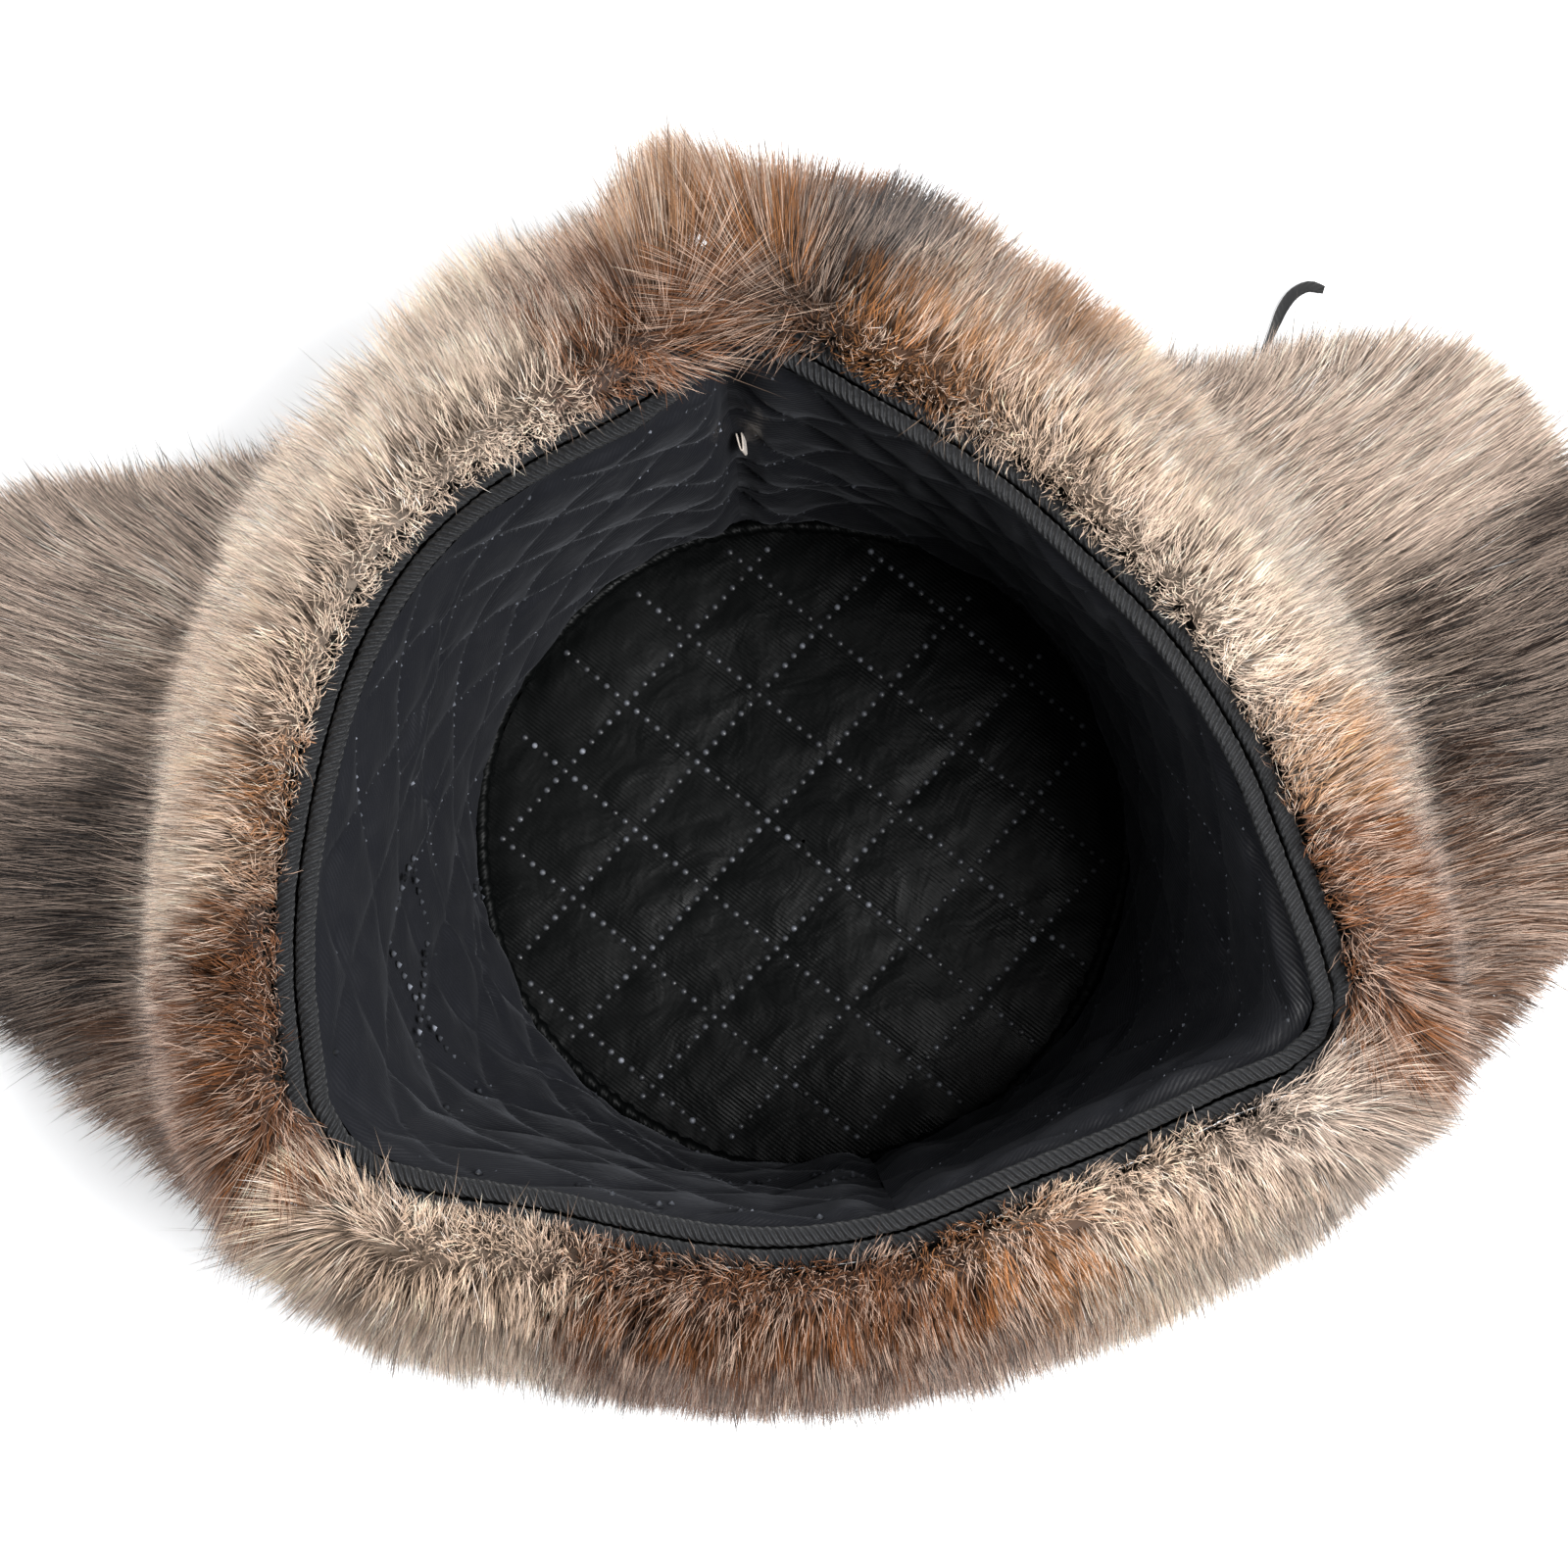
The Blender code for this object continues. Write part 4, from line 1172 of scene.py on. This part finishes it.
class Pelt:
    """The skin side of a flap's fur, read from the frame, with how the hair lies on it."""

    def __init__(self, flap, tape):
        points, faces = node_surface(f"{flap}_fur")
        shell = tree_of(*node_surface(f"{flap}_shell"))
        near = np.array([shell.find_nearest(Vector(p))[3] for p in points]) < 0.9 * MM
        skin = faces[near[faces].all(axis=1)]
        used, index = np.unique(skin, return_inverse=True)
        self.points, self.faces = points[used], index.reshape(-1, 3)[:, ::-1]
        self.whole = tree_of(points, faces)
        self.outside = tree_of(points, faces[~near[faces].all(axis=1)])
        self.tape = tree_of(*node_surface(tape))
        a, b, c = (self.points[self.faces[:, k]] for k in range(3))
        cross = np.cross(b - a, c - a)
        self.area = 0.5 * np.linalg.norm(cross, axis=1)
        normals = np.zeros_like(self.points)
        for k in range(3):
            np.add.at(normals, self.faces[:, k], cross)
        self.normals = unit(normals)
        middles = (a + b + c) / 3
        away = np.array([self.tape.find_nearest(Vector(p))[3] for p in middles])
        self.crowding = self.area * (1.0 + 1.3 * np.exp(-((away / 0.022) ** 2)))
        self.read_border()

    def read_border(self):
        """Points along the pelt's border with the ways that lead off it."""
        edges = {}
        for face, corners in enumerate(self.faces.tolist()):
            for a, b in zip(corners, corners[1:] + corners[:1]):
                edges.setdefault((min(a, b), max(a, b)), []).append(face)
        places, ways = [], []
        for (a, b), owners in edges.items():
            if len(owners) != 1:
                continue
            start, end = self.points[a], self.points[b]
            inside = self.points[self.faces[owners[0]]].mean(axis=0)
            along = unit(end - start)
            away = 0.5 * (start + end) - inside
            away = unit(away - along * (away @ along))
            steps = max(2, int(np.linalg.norm(end - start) / 0.002))
            for t in (np.arange(steps) + 0.5) / steps:
                places.append(start + (end - start) * t)
                ways.append(away)
        self.border_places, self.border_ways = np.array(places), np.array(ways)
        found = [self.tape.find_nearest(Vector(p)) for p in places]
        toward = unit(np.array([f[0] for f in found]) - self.border_places)
        facing = (toward * self.border_ways).sum(axis=1)
        self.border_is_seam = (np.array([f[3] for f in found]) < 0.012) & (facing > 0.6)
        self.free_border = self.kd(self.border_places[~self.border_is_seam])
        self.free_ways = self.border_ways[~self.border_is_seam]

    def notch_edge(self, reaches):
        """Points of the border beside the back notch, one at each distance from the axis."""
        reach = np.hypot(self.border_places[:, 0], self.border_places[:, 1])
        bearing = np.degrees(np.arctan2(self.border_places[:, 1], self.border_places[:, 0]))
        away = np.abs(bearing - BACK_SEAM)
        rows = [int(np.argmin(away + 2000.0 * np.abs(reach - value))) for value in reaches]
        return self.border_places[rows]

    @staticmethod
    def kd(points):
        tree = KDTree(len(points))
        for i, point in enumerate(points):
            tree.insert(point, i)
        tree.balance()
        return tree

    def scatter(self, count, rng):
        """Roots spread evenly over the pelt, with smooth normals."""
        share = np.cumsum(self.crowding) / self.crowding.sum()
        face = np.searchsorted(share, rng.uniform(size=count))
        face = np.clip(face, 0, len(self.area) - 1)
        u, v = np.sqrt(rng.uniform(size=count)), rng.uniform(size=count)
        weights = np.column_stack([1 - u, u * (1 - v), u * v])
        corners = self.faces[face]
        places = (self.points[corners] * weights[:, :, None]).sum(axis=1)
        normals = unit((self.normals[corners] * weights[:, :, None]).sum(axis=1))
        return places, normals

    def lay(self, places, normals):
        """Unit directions on the pelt away from the seam, and the distance from the seam."""
        found = [self.tape.find_nearest(Vector(p)) for p in places]
        nearest = np.array([f[0] for f in found])
        distance = np.array([f[3] for f in found])
        way = places - nearest
        way -= normals * (way * normals).sum(axis=1, keepdims=True)
        return unit(way), distance

    def off_edge(self, places):
        """Directions off the nearest free edge, and the distance to it."""
        found = [self.free_border.find(Vector(p)) for p in places]
        index = np.array([f[1] for f in found])
        return self.free_ways[index], np.array([f[2] for f in found])

    def depth(self, places):
        """Depth of the frame's fur over each root."""
        return np.array([self.outside.find_nearest(Vector(p))[3] for p in places])

    def beyond(self, tips):
        """How far each point is outside the frame's fur, or less than 0 inside it."""
        out = np.empty(len(tips))
        for i, tip in enumerate(tips):
            place, normal, _, distance = self.whole.find_nearest(Vector(tip))
            out[i] = math.copysign(distance, (Vector(tip) - place).dot(normal))
        return out


def hair_ways(pelt, places, normals, rng, sway):
    """Growth direction of the hair at each root, and how much it bends on towards the lay."""
    lay, from_seam = pelt.lay(places, normals)
    off, from_edge = pelt.off_edge(places)
    rise = smoothstep((from_seam - 0.002) / 0.024)
    lean = np.radians(14.0 + 38.0 * rise)[:, None]
    way = normals * np.cos(lean) + lay * np.sin(lean)
    way += off * 1.15 * np.exp(-((from_edge / 0.009) ** 1.3))[:, None]
    bearing = np.degrees(np.arctan2(places[:, 1], places[:, 0]))
    share = np.interp(bearing, [row.bearing for row in SEAM_LEAN], [row.share for row in SEAM_LEAN])
    inward = 0.75 * share * np.exp(-((from_seam / 0.009) ** 1.3))
    way -= lay * (inward * rng.uniform(0.5, 1.2, len(places)))[:, None]
    drift = np.stack([wave_field(places, rng, 6, 0.030) for _ in range(3)], -1)
    way += 0.16 * drift
    spread = sway * (1.0 + 0.25 * np.exp(-((from_seam / 0.012) ** 2)))
    way += spread[:, None] * rng.normal(size=way.shape)
    return unit(way), lay, from_seam, from_edge


def patch_colours(flat, patches):
    total = np.zeros((len(flat), 3))
    weight = np.zeros((len(flat), 1))
    for patch in patches:
        away = np.hypot(flat[:, 0] - patch.x, flat[:, 1] - patch.y) / patch.reach
        share = (np.exp(-2.2 * away**2) + 1e-9 / (1 + away**4))[:, None]
        total += share * np.array(getattr(colours(), patch.tone))
        weight += share
    return total / weight


def coat_colours(places, coats, rng):
    """Body colour of the coat at each place, from its patches with uneven borders."""
    flat = places[:, :2] * 1000.0
    warp = np.column_stack([wave_field(flat, rng, 6, 34.0), wave_field(flat, rng, 6, 26.0)]) * 5.0
    flat = flat + warp + rng.normal(size=flat.shape) * 3.5
    high = patch_colours(flat, coats[0])
    if len(coats) == 1:
        return high
    low = patch_colours(flat, coats[1])
    height = places[:, 2] * 1000.0 + rng.normal(size=len(flat)) * 3.0
    share = smoothstep((height - WING_TOP_MM) / (RING_LOW_MM - WING_TOP_MM))[:, None]
    return low + share * (high - low)


def ribbon_points(spine, across, widths):
    """Points of tapered ribbons, two to each point of the spine and one at its tip."""
    half = 0.5 * widths[:, :, None] * across[:, None, :]
    pairs = np.stack([spine[:, :-1] - half[:, :-1], spine[:, :-1] + half[:, :-1]], 2)
    return np.concatenate([pairs.reshape(len(spine), -1, 3), spine[:, -1:]], 1)


def ribbon_corners(count, steps):
    """Corners and corner counts of ribbons with so many stretches each."""
    per_hair = 2 * steps + 1
    one = []
    counts = []
    for i in range(steps - 1):
        one += [2 * i, 2 * i + 1, 2 * i + 3, 2 * i + 2]
        counts.append(4)
    one += [2 * steps - 2, 2 * steps - 1, 2 * steps]
    counts.append(3)
    step = (np.arange(count) * per_hair)[:, None]
    return (np.array(one)[None] + step).ravel(), np.tile(counts, count), np.array(one)


def hair_cells(count, steps, one):
    """A small cell of the map for each hair, its root at the bottom and its tip at the top."""
    columns = int(math.ceil(math.sqrt(count * 2.0)))
    rows = int(math.ceil(count / columns))
    wide, tall = 1.0 / columns, 1.0 / rows
    index = np.arange(count)
    corner = np.column_stack([(index % columns) * wide, (index // columns) * tall])
    shape = []
    for i in range(steps):
        shape += [(0.2, 0.08 + 0.84 * i / steps), (0.8, 0.08 + 0.84 * i / steps)]
    shape.append((0.5, 0.92))
    cell = np.array(shape)[one] * (wide, tall)
    return (corner[:, None] + cell[None]).reshape(-1, 2)


def hair_piece(name, spine, across, widths, coat, normals, material):
    """One mesh of ribbons, with its coat colours, its shading normals and its map."""
    count, steps = spine.shape[0], spine.shape[1] - 1
    points = ribbon_points(spine, across, widths)
    corners, counts, one = ribbon_corners(count, steps)
    mesh = mesh_of(name, points.reshape(-1, 3), corners, counts)
    colour = mesh.attributes.new("coat", "FLOAT_COLOR", "POINT")
    pairs = np.repeat(coat[:, :-1], 2, axis=1)
    shades = np.concatenate([pairs, coat[:, -1:]], 1).reshape(-1, 3)
    colour.data.foreach_set("color", np.column_stack([shades, np.ones(len(shades))]).ravel())
    add_uv(mesh, "OFBake", hair_cells(count, steps, one))
    per_point = np.repeat(normals, 2 * steps + 1, axis=0)
    mesh.normals_split_custom_set_from_vertices(per_point.tolist())
    return add_piece(name, mesh, material)


def grow_hair(flap, pelt, patches, count, seed, guard):
    """Hair over a pelt, gathered in locks. guard is true for the long straight hairs over the rest."""
    rng = np.random.default_rng(seed)
    places, normals = pelt.scatter(count, rng)
    spacing = sizes().lock_spacing
    locks = int(pelt.area.sum() / spacing**2)
    lock_places, lock_normals = pelt.scatter(locks, np.random.default_rng(seed + 1))
    lock_ways, _, lock_seam, _ = hair_ways(
        pelt, lock_places, lock_normals, np.random.default_rng(seed + 2), 0.22
    )
    lock_depth = pelt.depth(lock_places)
    lock_tree = pelt.kd(lock_places)
    found = [lock_tree.find_n(Vector(p), 3) for p in places]
    index = np.array([[f[1] for f in row] for row in found])
    away = np.array([[f[2] for f in row] for row in found])
    near = 1.0 / (away + 0.0008) ** 2
    near /= near.sum(axis=1, keepdims=True)
    depth = (lock_depth[index] * near).sum(axis=1)
    ways, lay, from_seam, from_edge = hair_ways(pelt, places, normals, rng, 0.17 if guard else 0.20)
    near_seam = np.exp(-((from_seam - 0.0015) / 0.0030).clip(0.0))
    places = places - lay * (0.0040 * near_seam)[:, None]
    places[:, 2] -= 0.0010 * near_seam
    lock_way = lock_ways[index[:, 0]]
    ways = unit(ways + 0.55 * lock_way)
    upright = np.clip((ways * normals).sum(axis=1), 0.45, 1.0)
    at_side = np.exp(-((from_edge / 0.009) ** 2)) * (places[:, 2] > 0.085)
    bearing = np.degrees(np.arctan2(places[:, 1], places[:, 0]))
    notch = np.exp(-(((bearing - BACK_SEAM) / 11.0) ** 4)) * smoothstep((places[:, 2] - 0.095) / 0.020)
    full = np.clip(depth, 0.0085, 0.030) + 0.006 * at_side + 0.008 * notch
    length = full / upright * rng.uniform(0.84, 1.06, count)
    # A fifth of the guard hairs are painted dark: partly the coat's black-tipped guard hairs, partly
    # painted shade for hair tips in shadow at the fur's edges.
    dark = rng.uniform(size=count) < 0.20
    if guard:
        length = full / upright * rng.uniform(0.98, 1.22, count) * np.where(dark, 1.18, 1.0)
    length = np.clip(length, 0.0085, 0.036 + 0.006 * notch)
    lock_tip = lock_places[index[:, 0]] + lock_way * length[:, None]
    steps = 2
    bend = 0.30 * lay + np.array([0.0, 0.0, -0.06])
    spine = [places + normals * 0.0002]
    for i in range(steps):
        share = (i + 0.5) / steps
        way = unit(ways + bend * (share - 0.4) * 1.2)
        spine.append(spine[-1] + way * (length / steps)[:, None])
    spine = np.stack(spine, 1)
    shares = np.linspace(0.0, 1.0, steps + 1)
    gather = (0.12 if guard else 0.26) * rng.uniform(0.3, 1.2, count)
    pull = (lock_tip - spine[:, -1]) * gather[:, None]
    limit = np.linalg.norm(pull, axis=1, keepdims=True)
    most = 0.0045 - 0.0033 * np.exp(-((from_seam / 0.014) ** 2))[:, None]
    pull *= np.minimum(1.0, most / np.maximum(limit, 1e-9))
    spine = spine + pull[:, None] * (shares**1.5)[None, :, None]
    spare = 0.0012 + 0.0012 * rng.uniform(size=count)
    if guard:
        stray = np.where(dark, 0.0056, 0.0018)
        spare = np.minimum(0.0012 + rng.exponential(1.0, count) * stray, 0.015)
    spare = spare + 0.008 * at_side + 0.010 * notch
    over = pelt.beyond(spine[:, -1]) - spare
    keep = np.clip(1.0 - over / length, 0.3, 1.0)
    height = spine[:, -1, 2] - (CAD_BOX[1][2] + 0.0115)
    rise = np.maximum(spine[:, -1, 2] - spine[:, 0, 2], 0.001)
    keep = np.minimum(keep, np.clip(1.0 - height / rise, 0.3, 1.0))
    spine = spine[:, :1] + (spine - spine[:, :1]) * keep[:, None, None]
    ahead = unit(spine[:, -1] - spine[:, 0])
    across = unit(np.cross(ahead, normals))
    roll = rng.uniform(-0.75, 0.75, count)[:, None]
    across = across * np.cos(roll) + np.cross(ahead, across) * np.sin(roll)
    width = sizes().guard_width if guard else sizes().underfur_width
    profile = np.array([0.8, 1.0, 0.0]) if guard else np.array([0.9, 1.0, 0.0])
    fine = 1.0 - 0.35 * np.exp(-((from_seam / 0.012) ** 2))
    widths = width * profile[None] * (fine * rng.uniform(0.75, 1.25, count))[:, None]
    body = coat_colours(spine[:, -1], patches, rng)
    tip = np.array(colours().hair_tip)
    lock_gain = np.random.default_rng(seed + 3).normal(0.0, 0.21, locks)[index[:, 0]]
    gain = np.exp(rng.normal(0.0, 0.25, (count, 1)) + lock_gain[:, None])
    light = body.mean(axis=1, keepdims=True)
    # Roots are painted at 0.16 of the body colour: partly the hair's own darker base, partly painted
    # shade for the self-shadow deep in the fur.
    root = body * 0.16
    if guard:
        paleness = 0.32 + 0.48 * smoothstep((light - 0.01) / 0.20)
        end = np.where(dark[:, None], body * 0.10, body * (1 - paleness) + tip * paleness)
        coat = np.stack([root, body * 0.22 + end * 0.45, end * gain], 1)
    else:
        coat = np.stack([root, body * 0.42 * gain, body * 0.92 * gain], 1)
    scatter = 0.40 if guard else 0.26
    shading = unit(normals * 0.85 + ways * 0.25 + scatter * rng.normal(size=normals.shape))
    kind = "guard_hair" if guard else "underfur"
    material = material_once(rabbit_fur, f"rabbit_{kind}", 0.04 if guard else 0.0)
    piece = hair_piece(f"{flap}_{kind}", spine, across, widths, np.clip(coat, 0, 1), shading, material)
    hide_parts(f"{flap}_fur")
    return piece


def pelt_piece(flap, pelt, patches):
    """The dense fur close to the skin, seen only between the locks: a sheet painted dark, partly the
    underfur's own deeper tone and partly painted shade between the hairs.
    """
    rng = np.random.default_rng(5)
    lifted = pelt.points + pelt.normals * 0.0012
    mesh = mesh_of(f"{flap}_pelt", lifted, pelt.faces.ravel(), np.full(len(pelt.faces), 3))
    # The coat's colour at 0.14 of its strength: partly the underfur's darker tone, partly painted shade
    # deep between the hairs.
    coat = coat_colours(lifted + pelt.normals * 0.012, patches, rng) * 0.14
    colour = mesh.attributes.new("coat", "FLOAT_COLOR", "POINT")
    colour.data.foreach_set("color", np.column_stack([coat, np.ones(len(coat))]).ravel())
    piece = add_piece(f"{flap}_pelt", mesh, material_once(rabbit_fur, "rabbit_pelt", 0.0))
    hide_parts(f"{flap}_fur")
    return piece


def notch_piece(left, right):
    """A dark sheet deep in the notch, where the two ear flaps meet at the centre back: it stands for
    the short fur there, painted dark as painted shade.
    """
    reaches = np.linspace(0.095, 0.1175, 17)
    first, second = left.notch_edge(reaches), right.notch_edge(reaches)
    share = np.linspace(-0.12, 1.12, 9)[None, :, None]
    points = first[:, None] + share * (second - first)[:, None]
    points[..., 2] -= 0.0012
    mesh = grid_mesh("notch_pelt_painted_shade", points)
    # Half the umber tone: painted shade deep in the notch, over the short fur's own dark colour.
    coat = np.tile((*(0.5 * np.array(colours().umber)), 1.0), (len(mesh.vertices), 1))
    mesh.attributes.new("coat", "FLOAT_COLOR", "POINT").data.foreach_set("color", coat.ravel())
    piece = add_piece("notch_pelt_painted_shade", mesh, material_once(rabbit_fur, "rabbit_pelt", 0.0))
    return piece


FlapFur = namedtuple("FlapFur", "flap tape coat underfur guard seed")
FLAPS = (
    FlapFur("ear_flap_left", "flap_tape_left", (RING_COAT, WING_COAT), 60000, 42000, 101),
    FlapFur("ear_flap_right", "flap_tape_right", (RING_COAT, WING_COAT), 60000, 42000, 201),
    FlapFur("front_flap", "front_tape", (FRONT_COAT,), 40000, 27000, 301),
)


def fur_pieces():
    pelts = {}
    for row in FLAPS:
        pelt = Pelt(row.flap, row.tape)
        pelts[row.flap] = pelt
        pelt_piece(row.flap, pelt, row.coat)
        grow_hair(row.flap, pelt, row.coat, row.underfur, row.seed, guard=False)
        grow_hair(row.flap, pelt, row.coat, row.guard, row.seed + 50, guard=True)
    notch_piece(pelts["ear_flap_left"], pelts["ear_flap_right"])


# The stage


def add_camera():
    """The photograph's view: almost straight down, from 65 cm above the opening."""
    data = bpy.data.cameras.new("photo_camera")
    data.lens = 79.56
    data.sensor_width = 36.0
    data.clip_start = 0.01
    camera = bpy.data.objects.new("photo_camera", data)
    camera.location = (-0.01512, -0.08112, 0.7851)
    camera.rotation_euler = (math.radians(7.0), 0.0, math.radians(-7.5))
    bpy.context.scene.collection.objects.link(camera)
    bpy.context.scene.camera = camera


SoftBox = namedtuple("SoftBox", "name place size power")
SOFT_BOXES = (
    SoftBox("key_box", (0.50, -0.26, 1.22), 0.55, 33.0),
    SoftBox("fill_box", (-1.00, 0.55, 0.52), 0.8, 8.5),
    SoftBox("back_box", (0.15, 1.10, 0.52), 0.8, 8.0),
)


def add_light(box):
    data = bpy.data.lights.new(box.name, "AREA")
    data.shape = "DISK"
    data.size = box.size
    data.energy = box.power
    light = bpy.data.objects.new(box.name, data)
    light.location = box.place
    aim = Vector((0.0, 0.0, 0.08)) - Vector(box.place)
    light.rotation_euler = aim.to_track_quat("-Z", "Y").to_euler()
    bpy.context.scene.collection.objects.link(light)


def add_stage():
    half = 3.0
    points = [(-half, -half, 0.0), (half, -half, 0.0), (half, half, 0.0), (-half, half, 0.0)]
    mesh = mesh_of("studio_floor", points, [0, 1, 2, 3], [4])
    mesh.materials.append(material_once(studio_floor))
    floor = bpy.data.objects.new("studio_floor", mesh)
    floor.location = (0.0, 0.0, -0.0002)
    bpy.context.scene.collection.objects.link(floor)
    for box in SOFT_BOXES:
        add_light(box)
    world = bpy.data.worlds.new("studio_room")
    world.use_nodes = True
    background = world.node_tree.nodes["Background"]
    background.inputs["Color"].default_value = (0.96, 0.98, 1.0, 1.0)
    background.inputs["Strength"].default_value = 0.30
    bpy.context.scene.world = world
    bpy.context.scene.view_settings.view_transform = "Standard"
    bpy.context.scene.view_settings.look = "None"


# Operators


class HAT_OT_camera(bpy.types.Operator):
    """Set the camera at the photograph's view"""

    bl_idname = "hat.camera"
    bl_label = "Camera"

    def execute(self, context):
        add_camera()
        return {"FINISHED"}


class HAT_OT_lace(bpy.types.Operator):
    """Lay the flat tie lace under the right ear flap"""

    bl_idname = "hat.lace"
    bl_label = "Tie lace"

    def execute(self, context):
        lace_piece()
        return {"FINISHED"}


class HAT_OT_leather(bpy.types.Operator):
    """Finish the crown and the flaps' backs in stitched grain leather"""

    bl_idname = "hat.leather"
    bl_label = "Leather"

    def execute(self, context):
        leather_pieces()
        return {"FINISHED"}


class HAT_OT_lining(bpy.types.Operator):
    """Make the quilted lining, its weld dots and its seam"""

    bl_idname = "hat.lining"
    bl_label = "Quilted lining"

    def execute(self, context):
        lining_tip_piece()
        lining_wall_piece()
        lining_seam_piece()
        return {"FINISHED"}


class HAT_OT_tapes(bpy.types.Operator):
    """Bind the rim with ribbed tapes"""

    bl_idname = "hat.tapes"
    bl_label = "Ribbed tapes"

    def execute(self, context):
        for node in ("lining_tape", "flap_tape_left", "flap_tape_right", "front_tape"):
            tape_piece(node)
        return {"FINISHED"}


class HAT_OT_tag(bpy.types.Operator):
    """Sew the blank woven tag into the back seam"""

    bl_idname = "hat.tag"
    bl_label = "Woven tag"

    def execute(self, context):
        tag_piece()
        return {"FINISHED"}


class HAT_OT_fur(bpy.types.Operator):
    """Grow the fur of the ear flaps and the front flap"""

    bl_idname = "hat.fur"
    bl_label = "Fur"

    def execute(self, context):
        fur_pieces()
        return {"FINISHED"}


class HAT_OT_stage(bpy.types.Operator):
    """Lay the pale floor and set the studio lights"""

    bl_idname = "hat.stage"
    bl_label = "Stage"

    def execute(self, context):
        add_stage()
        return {"FINISHED"}


OPERATORS = (
    HAT_OT_camera,
    HAT_OT_lace,
    HAT_OT_leather,
    HAT_OT_lining,
    HAT_OT_tapes,
    HAT_OT_tag,
    HAT_OT_fur,
    HAT_OT_stage,
)


class HAT_PT_panel(bpy.types.Panel):
    """Sizes, colours and pieces of the hat"""

    bl_label = "Aviator Hat"
    bl_idname = "HAT_PT_panel"
    bl_space_type = "VIEW_3D"
    bl_region_type = "UI"
    bl_category = "Hat"

    def draw(self, context):
        for group in (context.scene.hat_sizes, context.scene.hat_colours):
            column = self.layout.column(align=True)
            for name in group.__annotations__:
                column.prop(group, name)
        for operator in OPERATORS:
            self.layout.operator(operator.bl_idname)


CLASSES = (HatSizes, HatColours, *OPERATORS, HAT_PT_panel)


def register():
    for cls in CLASSES:
        bpy.utils.register_class(cls)
    bpy.types.Scene.hat_sizes = PointerProperty(type=HatSizes)
    bpy.types.Scene.hat_colours = PointerProperty(type=HatColours)


def unregister():
    del bpy.types.Scene.hat_colours
    del bpy.types.Scene.hat_sizes
    for cls in reversed(CLASSES):
        bpy.utils.unregister_class(cls)


def main():
    register()
    bpy.ops.hat.camera()
    bpy.ops.hat.lace()
    bpy.ops.hat.leather()
    bpy.ops.hat.lining()
    bpy.ops.hat.tapes()
    bpy.ops.hat.tag()
    bpy.ops.hat.fur()
    bpy.ops.hat.stage()


if __name__ == "__main__":
    main()
